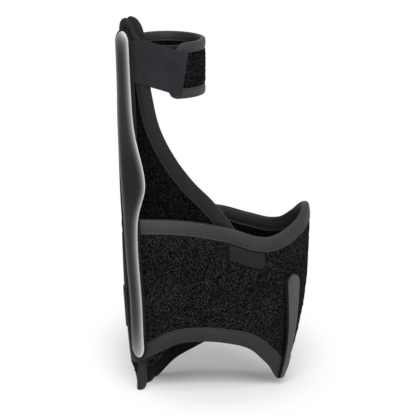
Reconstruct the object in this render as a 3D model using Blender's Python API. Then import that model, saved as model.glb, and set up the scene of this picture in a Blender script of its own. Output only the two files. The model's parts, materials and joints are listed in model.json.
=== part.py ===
# Soft ankle foot orthosis with one rigid stay.
# X points to the front, Y away from the stay's side, Z up. Sizes are in millimetres.
# Each fabric piece is a flat pattern in (s, z) that is laid on a curved form: s runs round the form
# from the nose along the near side, z is the height and "out" is the distance out of the form.

import bmesh
import bpy
import numpy as np
from mathutils import Vector

MM = 0.001

# Plan of the foot wrap at its widest height
FOOT_LENGTH = 171.0
NOSE_X = 89.0
NOSE_BREAK_X = 20.0
FAR_BREAK_X = -2.0
REAR_X = NOSE_X - FOOT_LENGTH
HALF_WIDTH = 45.0
CORNER_RADIUS = 15.0

# How the form narrows towards the floor and leans back above the wrap
FRONT_TAPER = 0.28
FRONT_TAPER_TOP = 130.0
REAR_TAPER = 0.13
REAR_TAPER_TOP = 150.0
SIDE_TAPER = 0.10
SIDE_TAPER_TOP = 140.0
LEAN = 0.045
LEAN_START = 150.0
LEAN_SOFTNESS = 30.0

# Fabric layers
WALL = 3.6
LINING = 1.0
SKIN = 0.9
CLEARANCE = 0.4
HINGE_GAP = 1.2
BINDING = 12.5
BAND_BINDING = 8.0
SEW_MARGIN = 2.0
STRAP = 1.7
HOOK = 1.0
PILE_GAP = 1.9

# Foot wrap pattern
END_PAST_CORNER = 2.0
TAIL_OVERLAP = 14.0
TAIL_TUCK = 50.0
TAIL_RAMP = 30.0
TAIL_FLARE = 5.5
TAIL_FLARE_TOP = 28.0
TIP_S = 18.0
DIP_S = 58.0
WRAP_CORNER = 15.0
WRAP_TOP = 160.0
FRONT_PEAK = 166.0
SIDE_DIP = 140.5
TAIL_TOP = 94.0
NEAR_ARCH = 47.0
FAR_ARCH = 42.0
SADDLE_REAR_X = -17.0
SADDLE_FRONT_X = 9.0
ARCH_REAR_X = -36.0
ARCH_X = -12.0
ARCH_FRONT_X = 11.0

# Leg panel pattern
PANEL_TOP = 342.0
PANEL_DOME = 9.0
PANEL_AHEAD_OF_RAIL = 0.0
PANEL_HALF = 8.0
PANEL_REAR_HALF = 6.5
PANEL_SPREAD = 30.5
PANEL_SPREAD_RUN = 58.0
PANEL_TIP_BINDING = 4.2
PANEL_TIP_RUN = 30.0
PANEL_SLOPE = 8.0
PANEL_SLOPE_DROP = 14.5
PANEL_BOTTOM = 103.0
PANEL_REACH_X = 28.0
PANEL_REACH_Z = 130.0
PANEL_SWEEP = ((0.104, 0.872), (0.245, 0.627), (0.385, 0.352), (0.584, 0.125), (0.77, 0.055))
PANEL_RISE = 4.5
PANEL_RISE_RUN = 80.0
LINER_PROUD = 2.0
LINER_DOME = 20.0
LINER_AHEAD_OF_RAIL = 7.0
LINER_HALF = 11.5
LINER_REAR_HALF = 18.0
LINER_SPREAD = 27.0
LINER_SPREAD_RUN = 26.0
LINER_BOTTOM = 186.0
LINER_TUCK = 7.0
LINER_THICK = 2.6
LINER_CROWN = 1.2
PATCH_OFFSET = 21.0
PATCH_WIDTH = 18.0

# Stay rail
RAIL_PAST_CORNER = 6.5
RAIL_BOTTOM = 33.0
RAIL_BELOW_TOP = 6.0
RAIL_HALF = 6.5
RAIL_END = 10.5
RAIL_BULGE = 9.5
RAIL_BULGE_Z = 190.0
RAIL_BULGE_ABOVE = 36.0
RAIL_BULGE_BELOW = 21.0
RAIL_EDGE = 1.6
RAIL_CROWN = 2.8
RAIL_SEAT = 4.9
RAIL_FACING = np.radians(20.0)
RAIL_SLIDE = 3.0
CARRIER_MARGIN = 1.6
HOOK_TAPE_HALF = 4.0

# Calf band, an oval of its own
BAND_SET = 8.0
BAND_LENGTH_HALF = 33.5
BAND_INSET = 7.0
BAND_BELOW_TOP = 24.0
BAND_HEIGHT = 48.0
BAND_WALL = 3.0
BAND_ROOT_ANGLE = np.radians(198.0)
BAND_END_ANGLE = np.radians(-92.0)

# Straps and tab
STRAP_WIDTH = 40.0
STRAP_DROP = 13.0
STRAP_ROOT = 5.0
STRAP_LEAVE = np.radians(9.0)
STRAP_LAND_ANGLE = np.radians(-92.0)
STRAP_END_ANGLE = np.radians(-62.0)
HEEL_STRAP_Z = 77.0
HEEL_STRAP_WIDTH = 36.0
HEEL_STRAP_LENGTH = 66.0
HOOK_LENGTH = 24.0
CALF_HOOK_LENGTH = 15.0
HOOK_INSET = 2.0
TAB_TOP = 102.0
TAB_BOTTOM = 16.0
TAB_ROOT_LENGTH = 9.0
TAB_HALF_TOP = 8.0
TAB_HALF_BOTTOM = 5.5
TAB_THICK = 2.6
TAB_TOP_S = 36.5
TAB_BOTTOM_S = 25.0

# Label
LABEL_S = 82.5
LABEL_WIDTH = 34.0
LABEL_DROP = 11.5
LABEL_THICK = 0.8

# Facet sizes
STEP = 6.5
CORNER_STEP = 4.0
CORNER_FOLDS = 3
EDGE_FOLDS = 2
PANEL_COLUMNS = 19
ROW_CROWD = 1.4
PANEL_ROW = 10.0
LINER_ROW = 15.0
HOOK_ROW = 15.0
QUARTER_STEPS = 60


def ease(t):
    """0 before t = 0, 1 after t = 1, smooth between."""
    t = np.clip(t, 0.0, 1.0)
    return t * t * (3.0 - 2.0 * t)


def through(points, x):
    """Height at x of the smooth curve through a few (x, height) points."""
    px, py = np.array(sorted(points), float).T
    slope = np.gradient(py, px)
    x = np.clip(np.asarray(x, float), px[0], px[-1])
    i = np.clip(np.searchsorted(px, x) - 1, 0, len(px) - 2)
    run = px[i + 1] - px[i]
    t = (x - px[i]) / run
    rise_in = py[i] * (1 + 2 * t) * (1 - t) ** 2 + slope[i] * run * t * (1 - t) ** 2
    rise_out = py[i + 1] * t * t * (3 - 2 * t) + slope[i + 1] * run * t * t * (t - 1)
    return rise_in + rise_out


def quarter(centre, along, across, first, last):
    """Points and outward normals of a quarter ellipse between two angles."""
    angle = np.linspace(first, last, QUARTER_STEPS)
    x = centre[0] + along * np.cos(angle)
    y = centre[1] + across * np.sin(angle)
    normal = np.stack([np.cos(angle) / along, np.sin(angle) / across], -1)
    normal /= np.linalg.norm(normal, axis=1)[:, None]
    return np.concatenate([np.stack([x, y], -1), normal], 1)


def wrap_outline():
    """The plan outline from the nose round the near side, the rear and the far side back to the nose."""
    turn = np.pi / 2
    nose = NOSE_X - NOSE_BREAK_X
    back_y = CORNER_RADIUS - HALF_WIDTH
    corner = (REAR_X + CORNER_RADIUS, back_y)
    rear_along = FAR_BREAK_X - REAR_X
    rear_across = HALF_WIDTH - back_y
    pieces = [
        quarter((NOSE_BREAK_X, 0.0), nose, HALF_WIDTH, 0.0, -turn),
        quarter(corner, CORNER_RADIUS, CORNER_RADIUS, -turn, -2 * turn),
        quarter((FAR_BREAK_X, back_y), rear_along, rear_across, 2 * turn, turn),
        quarter((NOSE_BREAK_X, 0.0), nose, HALF_WIDTH, turn, 0.0),
    ]
    points = np.concatenate(pieces)
    steps = np.linalg.norm(np.diff(points[:, :2], axis=0), axis=1)
    return np.concatenate([[0.0], np.cumsum(steps)]), points


RUN, OUTLINE = wrap_outline()
PERIMETER = RUN[-1]
NEAR_STRAIGHT = RUN[QUARTER_STEPS - 1] + NOSE_BREAK_X

# Places in the pattern that follow from the outline
CORNER_START = RUN[QUARTER_STEPS]
CORNER_END = RUN[2 * QUARTER_STEPS - 1]
NEAR_END = CORNER_END + END_PAST_CORNER
TAIL_ENTRY = NEAR_END - PERIMETER
TAIL_END = TAIL_ENTRY - TAIL_OVERLAP
TAIL_TURN = TAIL_END + TAIL_OVERLAP + TAIL_RAMP
RAIL_S = CORNER_START + RAIL_PAST_CORNER
PANEL_DOME_S = RAIL_S - PANEL_AHEAD_OF_RAIL
LINER_DOME_S = RAIL_S - LINER_AHEAD_OF_RAIL
LINER_TOP = PANEL_TOP + LINER_PROUD
RAIL_TOP = PANEL_TOP - RAIL_BELOW_TOP
BAND_TOP = PANEL_TOP - BAND_BELOW_TOP
BAND_BOTTOM = BAND_TOP - BAND_HEIGHT
BAND_X = REAR_X + BAND_LENGTH_HALF + BAND_SET
BAND_WIDTH_HALF = HALF_WIDTH - BAND_INSET
STRAP_ROOT_Z = (BAND_BOTTOM + BAND_TOP) / 2 + STRAP_DROP


def near_s(x):
    """Pattern distance of a point of the near side, given its X at the widest height."""
    return NEAR_STRAIGHT - x


def lean_at(z):
    """How far the form has moved back at a height."""
    rise = np.asarray(z, float) - LEAN_START
    return LEAN * (np.sqrt(rise * rise + LEAN_SOFTNESS**2) + rise) / 2


def on_form(s, z, out):
    """Points of the main form, in millimetres."""
    s, z, out = np.broadcast_arrays(np.asarray(s, float), np.asarray(z, float), out)
    around = np.mod(s, PERIMETER)
    x, y, nx, ny = (np.interp(around, RUN, column) for column in OUTLINE.T)
    front = 1 - FRONT_TAPER * np.clip(1 - z / FRONT_TAPER_TOP, 0, None) ** 2
    rear = 1 - REAR_TAPER * np.clip(1 - z / REAR_TAPER_TOP, 0, None) ** 2
    side = 1 - SIDE_TAPER * np.clip(1 - z / SIDE_TAPER_TOP, 0, None) ** 2
    x = x * np.where(x > 0, front, rear) - lean_at(z)
    return np.stack([x + out * nx, y * side + out * ny, z], -1)


def on_band(angle, z, out):
    """Points of the calf band's oval, in millimetres."""
    angle, z, out = np.broadcast_arrays(np.asarray(angle, float), np.asarray(z, float), out)
    x = BAND_X + BAND_LENGTH_HALF * np.cos(angle)
    y = BAND_WIDTH_HALF * np.sin(angle)
    normal = np.stack([np.cos(angle) / BAND_LENGTH_HALF, np.sin(angle) / BAND_WIDTH_HALF], -1)
    normal /= np.linalg.norm(normal, axis=-1)[..., None]
    return np.stack([x + out * normal[..., 0], y + out * normal[..., 1], z], -1)


# Where each layer's outer face lies on the form

SECOND_LAYER = -(WALL + 2 * CLEARANCE + LINING + CLEARANCE + SKIN + CLEARANCE)


def wrap_face(s, z):
    """The wrap lies on the form, and its tail slips in behind its own near end and flares out below it."""
    tucked = ease((TAIL_TURN - np.asarray(s, float)) / TAIL_RAMP)
    flare = TAIL_FLARE * np.clip(1 - np.asarray(z, float) / TAIL_FLARE_TOP, 0, None) ** 2
    return tucked * (SECOND_LAYER + flare)


def panel_face(s, z):
    """The leg panel lies behind the wrap and comes out to the stay above it."""
    rise = ease((np.asarray(z, float) - WRAP_TOP) / PANEL_RISE_RUN)
    return SECOND_LAYER + PANEL_RISE * rise + 0.0 * np.asarray(s, float)


def liner_face(s, z):
    """The liner lies behind the leg panel's binding."""
    return panel_face(s, z) - WALL - 3 * CLEARANCE - SKIN


# Solids


def finish(name, colour, roughness, metallic=0.0):
    """The piece's own material."""
    material = bpy.data.materials.new(name)
    material.use_nodes = True
    shader = material.node_tree.nodes["Principled BSDF"]
    shader.inputs["Base Color"].default_value = (*colour, 1.0)
    shader.inputs["Roughness"].default_value = roughness
    shader.inputs["Metallic"].default_value = metallic
    return material


def new_object(name, points, faces, look):
    mesh = bpy.data.meshes.new(name)
    mesh.from_pydata((np.asarray(points) * MM).tolist(), [], faces)
    work = bmesh.new()
    work.from_mesh(mesh)
    bmesh.ops.recalc_face_normals(work, faces=work.faces)
    work.to_mesh(mesh)
    work.free()
    mesh.shade_smooth()
    mesh.set_sharp_from_angle(angle=np.radians(35.0))
    mesh.materials.append(finish(name, *look))
    made = bpy.data.objects.new(name, mesh)
    bpy.context.scene.collection.objects.link(made)
    return made


def slab(name, outer, inner, look):
    """Closed solid between two grids of points."""
    rows, columns = outer.shape[:2]
    count = rows * columns
    index = np.arange(count).reshape(rows, columns)
    faces = []
    for i in range(rows - 1):
        for j in range(columns - 1):
            cell = [index[i, j], index[i + 1, j], index[i + 1, j + 1], index[i, j + 1]]
            faces.append([int(k) for k in cell])
            faces.append([int(k) + count for k in reversed(cell)])
    rim = list(index[0, :-1]) + list(index[:-1, -1]) + list(index[-1, :0:-1]) + list(index[:0:-1, 0])
    for a, b in zip(rim, rim[1:] + rim[:1]):
        faces.append([int(a), int(b), int(b) + count, int(a) + count])
    points = np.concatenate([outer.reshape(-1, 3), inner.reshape(-1, 3)])
    return new_object(name, points, faces, look)


def sweep(name, rings, look):
    """Closed solid from a row of like rings of points, capped at both ends."""
    rows, columns = rings.shape[:2]
    index = np.arange(rows * columns).reshape(rows, columns)
    faces = [[int(k) for k in index[0]], [int(k) for k in reversed(index[-1])]]
    for i in range(rows - 1):
        for j in range(columns):
            k = (j + 1) % columns
            cell = [index[i, j], index[i, k], index[i + 1, k], index[i + 1, j]]
            faces.append([int(n) for n in cell])
    return new_object(name, rings.reshape(-1, 3), faces, look)


def binding(name, form, path, inward, face, wall, width, look, steps=1, upright_end=None, left=1.0):
    """U-shaped tape over an edge: path is the edge in the pattern, inward is which side the fabric is on
    and left is the share of the tape's width at each point."""
    path = np.asarray(path, float)
    left = np.broadcast_to(left, len(path))[:, None]
    along = np.gradient(path, axis=0)
    if upright_end is not None:
        along[upright_end, 1] = 0.0
    along /= np.linalg.norm(along, axis=1)[:, None]
    across = inward * np.stack([-along[:, 1], along[:, 0]], -1)
    gap = CLEARANCE
    over = CLEARANCE + SKIN
    down = np.linspace(0.0, width, steps + 1)
    groove = np.concatenate([[-gap], down[1:]])
    profile = [(depth, over) for depth in down[::-1]]
    profile += [(-over, SKIN - over), (-over, over - SKIN - wall)]
    profile += [(depth, -wall - over) for depth in down]
    profile += [(depth, -wall - gap) for depth in groove[::-1]]
    profile += [(depth, gap) for depth in groove]
    rings = []
    for depth, out in profile:
        at = path + across * depth * (left if depth > 0 else 1.0)
        rings.append(form(at[:, 0], at[:, 1], face(at[:, 0], at[:, 1]) + out))
    return sweep(name, np.stack(rings, 1), look)


def spread(first, last, step=STEP):
    """Even values from first to last, at most a step apart."""
    return np.linspace(first, last, int(np.ceil(abs(last - first) / step)) + 1)


def column_grid(columns, low, high, rows, crowd=1.0):
    """Pattern grid with one column per s and rows from the lower to the upper edge, crowded to the lower."""
    share = np.linspace(0.0, 1.0, rows)[:, None] ** crowd
    s = np.broadcast_to(columns, (rows, len(columns)))
    return s, low + (high - low) * share


# Foot wrap


def wrap_top(s):
    """Upper edge of the wrap: level at the rear, a dip at each side of the foot and a peak at the nose."""
    saddle = WRAP_TOP - SIDE_DIP
    slope_z = (SIDE_DIP + FRONT_PEAK) / 2
    points = [
        (NEAR_END, WRAP_TOP),
        (near_s(SADDLE_REAR_X), WRAP_TOP - 0.2 * saddle),
        (near_s(SADDLE_FRONT_X), WRAP_TOP - 0.46 * saddle),
        (DIP_S, SIDE_DIP),
        (DIP_S / 2, slope_z),
        (0.0, FRONT_PEAK),
        (-DIP_S / 2, slope_z),
        (-DIP_S, SIDE_DIP),
        (-near_s(SADDLE_FRONT_X), WRAP_TOP - 0.5 * saddle),
        (TAIL_ENTRY + 1.65 * TAIL_TUCK, WRAP_TOP - 0.6 * saddle),
        (TAIL_ENTRY + TAIL_TUCK, (WRAP_TOP + TAIL_TOP) / 2),
        (TAIL_ENTRY + 0.5 * TAIL_TUCK, TAIL_TOP + 3.0),
        (TAIL_END, TAIL_TOP),
    ]
    return through(points, s)


def wrap_bottom(s):
    """Lower edge of the wrap, before its end corners are rounded."""
    points = [
        (NEAR_END, 0.47 * NEAR_ARCH),
        (CORNER_START - WRAP_CORNER / 2, 0.76 * NEAR_ARCH),
        (near_s(ARCH_REAR_X), 0.96 * NEAR_ARCH),
        (near_s(ARCH_X), NEAR_ARCH),
        (near_s(ARCH_FRONT_X), 0.96 * NEAR_ARCH),
        (DIP_S + TIP_S, 0.81 * NEAR_ARCH),
        (DIP_S, 0.5 * NEAR_ARCH),
        (TIP_S, 0.0),
        (0.0, 0.14 * FAR_ARCH),
        (-DIP_S / 2, 0.5 * FAR_ARCH),
        (-1.5 * DIP_S, FAR_ARCH),
        (TAIL_ENTRY + 2.35 * TAIL_TUCK, 0.66 * FAR_ARCH),
        (TAIL_ENTRY + 1.65 * TAIL_TUCK, 0.3 * FAR_ARCH),
        (TAIL_ENTRY + 1.1 * TAIL_TUCK, 0.0),
        (TAIL_ENTRY + 0.6 * TAIL_TUCK, 0.0),
        (TAIL_END, 0.0),
    ]
    return np.maximum(through(points, s), 0.0)


def rounded_bottom(s):
    """Lower edge of the wrap with both end corners rounded."""
    to_end = np.clip(np.minimum(NEAR_END - s, s - TAIL_END), 0.0, WRAP_CORNER)
    lift = WRAP_CORNER - np.sqrt(np.maximum(WRAP_CORNER**2 - (WRAP_CORNER - to_end) ** 2, 0.0))
    return wrap_bottom(s) + lift


def past_binding(edge, s):
    """Upright distance from a sloping edge to just past its binding."""
    slope = (edge(s + STEP) - edge(s - STEP)) / (2 * STEP)
    return (BINDING + SEW_MARGIN) * np.sqrt(1 + slope * slope)


CORNER_TURNS = np.linspace(0.0, np.pi / 2, 6)
NEAR_TURN = NEAR_END - WRAP_CORNER * (1 - np.cos(CORNER_TURNS))
TAIL_TURNS = TAIL_END + WRAP_CORNER * (1 - np.cos(CORNER_TURNS))
NEAR_RUN = np.concatenate(
    [
        spread(NEAR_END - WRAP_CORNER, CORNER_START - CORNER_STEP, CORNER_STEP)[:-1],
        spread(CORNER_START - CORNER_STEP, TIP_S),
    ]
)
FAR_RUN = spread(TIP_S, TAIL_END + WRAP_CORNER)
WRAP_COLUMNS = np.concatenate([NEAR_TURN, NEAR_RUN[1:], FAR_RUN[1:], TAIL_TURNS[-2::-1]])


def build_wrap(pile, lining, tape):
    s, z = column_grid(WRAP_COLUMNS, rounded_bottom(WRAP_COLUMNS), wrap_top(WRAP_COLUMNS), 8, ROW_CROWD)
    face = wrap_face(s, z)
    slab("foot_wrap", on_form(s, z, face), on_form(s, z, face - WALL), pile)

    inside = (WRAP_COLUMNS <= NEAR_END - WRAP_CORNER) & (WRAP_COLUMNS >= TAIL_END + WRAP_CORNER)
    columns = WRAP_COLUMNS[inside]
    low = wrap_bottom(columns) + past_binding(wrap_bottom, columns)
    high = wrap_top(columns) - past_binding(wrap_top, columns)
    s, z = column_grid(columns, low, high, 6, ROW_CROWD)
    face = wrap_face(s, z) - WALL - CLEARANCE
    slab("wrap_lining", on_form(s, z, face), on_form(s, z, face - LINING), lining)

    top = np.stack([WRAP_COLUMNS, wrap_top(WRAP_COLUMNS)], -1)
    binding("wrap_top_binding", on_form, top, 1, wrap_face, WALL, BINDING, tape, EDGE_FOLDS)

    end_top = wrap_top(NEAR_END) - BINDING - SKIN - 2 * CLEARANCE
    end_low = rounded_bottom(np.array([NEAR_END]))[0]
    end_z = spread(end_top, end_low, 2 * STEP)[:-1]
    end = np.stack([np.full_like(end_z, NEAR_END), end_z], -1)
    under = np.concatenate([NEAR_TURN, NEAR_RUN[1:-1], [TIP_S + CLEARANCE]])
    near = np.concatenate([end, np.stack([under, rounded_bottom(under)], -1)])
    binding("wrap_near_hem", on_form, near, -1, wrap_face, WALL, BINDING, tape, CORNER_FOLDS, -1)

    end_top = wrap_top(TAIL_END) - BINDING - SKIN - 2 * CLEARANCE
    end_low = rounded_bottom(np.array([TAIL_END]))[0]
    end_z = spread(end_low, end_top, 2 * STEP)[1:]
    end = np.stack([np.full_like(end_z, TAIL_END), end_z], -1)
    under = np.concatenate([[TIP_S - CLEARANCE], FAR_RUN[1:], TAIL_TURNS[-2::-1]])
    far = np.concatenate([np.stack([under, rounded_bottom(under)], -1), end])
    binding("wrap_far_hem", on_form, far, -1, wrap_face, WALL, BINDING, tape, EDGE_FOLDS, 0)


# Leg panel and its liner


def panel_front(z):
    """Front edge of the leg panel below its rounded top: it sweeps forward into the wrap."""
    tip = PANEL_DOME_S - PANEL_HALF
    side = tip - PANEL_SLOPE
    reach = side - near_s(PANEL_REACH_X)
    shoulder = PANEL_TOP - PANEL_DOME - PANEL_SLOPE_DROP
    points = [(PANEL_BOTTOM, side - 0.9 * reach), (PANEL_REACH_Z, side - reach), (shoulder, side)]
    points.append((PANEL_TOP - PANEL_DOME, tip))
    for up, forward in PANEL_SWEEP:
        points.append((PANEL_REACH_Z + up * (shoulder - PANEL_REACH_Z), side - forward * reach))
    return through(points, z)


def dome(z, top, high, half):
    """Half width of a rounded top at a height."""
    share = np.clip((np.asarray(z, float) - top + high) / high, 0.0, 1.0)
    return half * np.sqrt(1.0 - share * share)


def dome_heights(low, top, high, count, low_step):
    """Heights up a tongue, closer together where its top is round."""
    turn = np.linspace(0.0, np.radians(80.0), count)
    return np.concatenate([spread(low, top - high, low_step)[:-1], top - high + high * np.sin(turn)])


def tongue_edges(z, front, top, high, centre, half, rear_half, rear_spread):
    """Front and rear edges of a tongue with a rounded top; rear_spread widens its rear lower down."""
    ahead = np.where(z > top - high, centre - dome(z, top, high, half), front(z))
    return ahead, centre + dome(z, top, high, rear_half) + rear_spread(z)


def panel_spread(z):
    """How far the panel's rear edge has swept back below its rounded top."""
    return PANEL_SPREAD * ease((PANEL_TOP - PANEL_DOME - np.asarray(z, float)) / PANEL_SPREAD_RUN)


def build_panel(pile, tape):
    args = (panel_front, PANEL_TOP, PANEL_DOME, PANEL_DOME_S, PANEL_HALF, PANEL_REAR_HALF, panel_spread)
    heights = dome_heights(PANEL_BOTTOM, PANEL_TOP, PANEL_DOME, 7, PANEL_ROW)
    front, rear = tongue_edges(heights, *args)
    share = np.linspace(0.0, 1.0, PANEL_COLUMNS)
    s = front[:, None] + (rear - front)[:, None] * share
    z = np.broadcast_to(heights[:, None], s.shape)
    face = panel_face(s, z)
    slab("leg_panel", on_form(s, z, face), on_form(s, z, face - WALL), pile)

    low = heights[heights > PANEL_BOTTOM + BINDING][0]
    heights = dome_heights(low, PANEL_TOP, PANEL_DOME, 7, PANEL_ROW)
    front, rear = tongue_edges(heights, *args)
    up = np.stack([front, heights], -1)
    down = np.stack([rear, heights], -1)[::-1]
    over = np.array([[PANEL_DOME_S, PANEL_TOP]])
    edge = np.concatenate([up, over, down])
    near_tip = ease((edge[:, 1] - PANEL_TOP + PANEL_DOME + PANEL_TIP_RUN) / PANEL_TIP_RUN)
    left = 1.0 - (1.0 - PANEL_TIP_BINDING / BINDING) * near_tip
    binding("leg_panel_binding", on_form, edge, -1, panel_face, WALL, BINDING, tape, CORNER_FOLDS, None, left)


def liner_front(z):
    """Front edge of the liner, which shows beside the panel only near the top."""
    side = LINER_DOME_S - LINER_HALF
    return side + LINER_TUCK * ease((LINER_TOP - LINER_DOME - np.asarray(z, float)) / LINER_DOME)


def liner_spread(z):
    """How far the liner's rear edge has swept back, to carry the calf band's patch."""
    return LINER_SPREAD * ease((PANEL_TOP - LINER_PROUD - np.asarray(z, float)) / LINER_SPREAD_RUN)


def build_liner(lining):
    heights = dome_heights(LINER_BOTTOM, LINER_TOP, LINER_DOME, 7, LINER_ROW)
    halves = (LINER_HALF, LINER_REAR_HALF)
    front, rear = tongue_edges(heights, liner_front, LINER_TOP, LINER_DOME, LINER_DOME_S, *halves, liner_spread)
    share = np.linspace(0.0, 1.0, 9)
    s = front[:, None] + (rear - front)[:, None] * share
    z = np.broadcast_to(heights[:, None], s.shape)
    face = liner_face(s, z)
    up = (heights - heights[0]) / (heights[-1] - heights[0])
    crown = LINER_CROWN * np.outer(np.sqrt(np.sin(np.pi * np.clip(up, 0, 1))), np.sin(np.pi * share))
    slab("leg_liner", on_form(s, z, face), on_form(s, z, face - LINER_THICK - crown), lining)


# Stay rail and what holds it


def rail_s(z):
    """Pattern place of the rail's middle: it slides forward low down."""
    return RAIL_S - RAIL_SLIDE * np.clip(1 - np.asarray(z, float) / LEAN_START, 0, None) ** 2


def rail_bulge(z):
    """Extra width of the rail's front edge at the ankle."""
    away = np.asarray(z, float) - RAIL_BULGE_Z
    spread_z = np.where(away > 0, RAIL_BULGE_ABOVE, RAIL_BULGE_BELOW)
    return RAIL_BULGE * np.exp(-((away / spread_z) ** 2))


def rail_place(u, z, high):
    """Point across the rail (u towards the front), up it (z) and out of its back (high)."""
    u, z, high = np.broadcast_arrays(np.asarray(u, float), np.asarray(z, float), high)
    at = on_form(rail_s(z), z, RAIL_SEAT)
    across = np.array([np.cos(RAIL_FACING), -np.sin(RAIL_FACING), 0.0])
    out = np.array([-np.sin(RAIL_FACING), -np.cos(RAIL_FACING), 0.0])
    return at + u[..., None] * across + high[..., None] * out


def rail_heights(margin):
    """Heights up a bar with round ends, and how much of its width is left at each."""
    length = RAIL_END + margin
    turn = np.linspace(np.radians(12.0), np.pi / 2, 5)
    low = RAIL_BOTTOM - margin + length * (1 - np.cos(turn - turn[0]))
    high = RAIL_TOP + margin - length * (1 - np.cos(turn - turn[0]))
    middle = spread(low[-1], high[-1], 9.0)
    heights = np.concatenate([low, middle[1:-1], high[::-1]])
    share = np.sin(turn)
    left = np.concatenate([share, np.ones(len(middle) - 2), share[::-1]])
    return heights, left


def build_rail(shell, base, hook):
    heights, left = rail_heights(0.0)
    z = heights[:, None]
    front = (RAIL_HALF + rail_bulge(heights)) * left
    rear = RAIL_HALF * left
    across = np.array([-1.0, -1.0, -0.62, 0.0, 0.62, 1.0, 1.0])
    u = np.where(across > 0, front[:, None] * across, rear[:, None] * across)
    crown = RAIL_EDGE + RAIL_CROWN * (1 - across**2)
    crown[0] = 0.0
    crown[-1] = 0.0
    rise = crown[None, :] * np.sqrt(left)[:, None]
    sweep("stay_rail", rail_place(u, z, rise), shell)

    heights, left = rail_heights(CARRIER_MARGIN)
    half = (RAIL_HALF + CARRIER_MARGIN) * left
    u = half[:, None] * np.linspace(-1.0, 1.0, 5)
    z = np.broadcast_to(heights[:, None], u.shape)
    under = on_form(rail_s(z) - u, z, PILE_GAP)
    slab("stay_carrier", rail_place(u, z, -CLEARANCE), under, base)

    for name, low, high, face in (
        ("carrier_hook_upper", WRAP_TOP + 4 * BINDING, RAIL_TOP - 2 * BINDING, panel_face),
        ("carrier_hook_lower", RAIL_BOTTOM + 2 * BINDING, WRAP_TOP - 2 * BINDING, wrap_face),
    ):
        z, u = np.meshgrid(spread(low, high, HOOK_ROW), np.linspace(-1.0, 1.0, 5), indexing="ij")
        s = rail_s(z) - HOOK_TAPE_HALF * u
        bottom = face(s, z) + CLEARANCE
        slab(name, on_form(s, z, PILE_GAP - CLEARANCE), on_form(s, z, bottom), hook)


# Calf band


def flat_face(s, z):
    """A layer that lies on its form all over."""
    return 0.0 * np.asarray(s, float)


def band_form(s, z, out):
    """The band's oval with distance along it instead of an angle."""
    return on_band(BAND_ROOT_ANGLE - s / BAND_LENGTH_HALF, z, out)


BAND_RUN = BAND_LENGTH_HALF * (BAND_ROOT_ANGLE - BAND_END_ANGLE)


def build_band(pile, lining, tape):
    s = spread(0.0, BAND_RUN, 6.0)
    columns, z = column_grid(s, BAND_BOTTOM, BAND_TOP, 2)
    z = np.broadcast_to(z, columns.shape)
    band = slab("calf_band", band_form(columns, z, 0.0), band_form(columns, z, -BAND_WALL), pile)

    low = BAND_BOTTOM + BAND_BINDING + SKIN + CLEARANCE
    high = BAND_TOP - BAND_BINDING - SKIN - CLEARANCE
    columns, z = column_grid(s, low, high, 2)
    z = np.broadcast_to(z, columns.shape)
    out = -BAND_WALL - CLEARANCE
    inside = slab("calf_band_lining", band_form(columns, z, out), band_form(columns, z, out - LINING), lining)

    edge = np.stack([s, np.full_like(s, BAND_TOP)], -1)
    top = binding("calf_band_top_binding", band_form, edge, -1, flat_face, BAND_WALL, BAND_BINDING, tape)
    edge = np.stack([s, np.full_like(s, BAND_BOTTOM)], -1)
    low = binding("calf_band_low_binding", band_form, edge, 1, flat_face, BAND_WALL, BAND_BINDING, tape)
    return [band, inside, top, low]


def build_band_patch(tape):
    """Sewn patch behind the liner that the band's root hangs on."""
    z, s = np.meshgrid(
        spread(BAND_BOTTOM + BAND_BINDING, BAND_TOP - BAND_BINDING, 12.0),
        spread(LINER_DOME_S + PATCH_OFFSET, LINER_DOME_S + PATCH_OFFSET + PATCH_WIDTH, 4.0),
        indexing="ij",
    )
    face = liner_face(s, z) - LINER_THICK - LINER_CROWN - CLEARANCE
    slab("calf_band_patch", on_form(s, z, face), on_form(s, z, face - SKIN), tape)


# Calf strap

STRAP_OUT = 2 * CLEARANCE + SKIN + CLEARANCE + HOOK


def strap_hinge(share):
    """Where the strap's free part starts, in front of its sewn root, at a share of its thickness."""
    lean_over_strap = LEAN * STRAP_WIDTH / 2
    s = RAIL_S - RAIL_HALF - CARRIER_MARGIN - CLEARANCE - STRAP_ROOT - HINGE_GAP - lean_over_strap
    face = panel_face(s, STRAP_ROOT_Z) + SKIN + 2 * CLEARANCE
    return on_form(s, STRAP_ROOT_Z, face + STRAP * share)


def strap_path():
    """Plan points and outward normals of the strap's middle, from its hinge to its cut end."""
    start = strap_hinge(0.5)[:2]
    land = on_band(STRAP_LAND_ANGLE, STRAP_ROOT_Z, STRAP_OUT + STRAP / 2)[:2]
    reach = np.linalg.norm(land - start) / 2
    ahead = np.array([-np.sin(STRAP_LAND_ANGLE), np.cos(STRAP_LAND_ANGLE)])
    leave = np.array([np.cos(STRAP_LEAVE), -np.sin(STRAP_LEAVE)])
    t = np.linspace(0.0, 1.0, 9)[:, None]
    pull = (start, start + reach * leave, land - reach * ahead, land)
    weights = ((1 - t) ** 3, 3 * t * (1 - t) ** 2, 3 * t * t * (1 - t), t**3)
    free = sum(w * p for w, p in zip(weights, pull))
    angle = np.linspace(STRAP_LAND_ANGLE, STRAP_END_ANGLE, 6)[1:]
    held = on_band(angle, STRAP_ROOT_Z, STRAP_OUT + STRAP / 2)[:, :2]
    path = np.concatenate([free, held])
    along = np.gradient(path, axis=0)
    along /= np.linalg.norm(along, axis=1)[:, None]
    run = np.concatenate([[0.0], np.cumsum(np.linalg.norm(np.diff(path, axis=0), axis=1))])
    return path, np.stack([along[:, 1], -along[:, 0]], -1), run


def strap_solid(name, path, normal, heights, out, thick, look):
    """Flat strap along a plan path: heights holds the lower and upper edge at each point."""
    faces = []
    for side in (out + thick, out):
        at = path + normal * side
        rows = [np.concatenate([at, heights[:, k : k + 1]], 1) for k in (0, 1)]
        faces.append(np.stack(rows))
    return slab(name, faces[0], faces[1], look)


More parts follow.
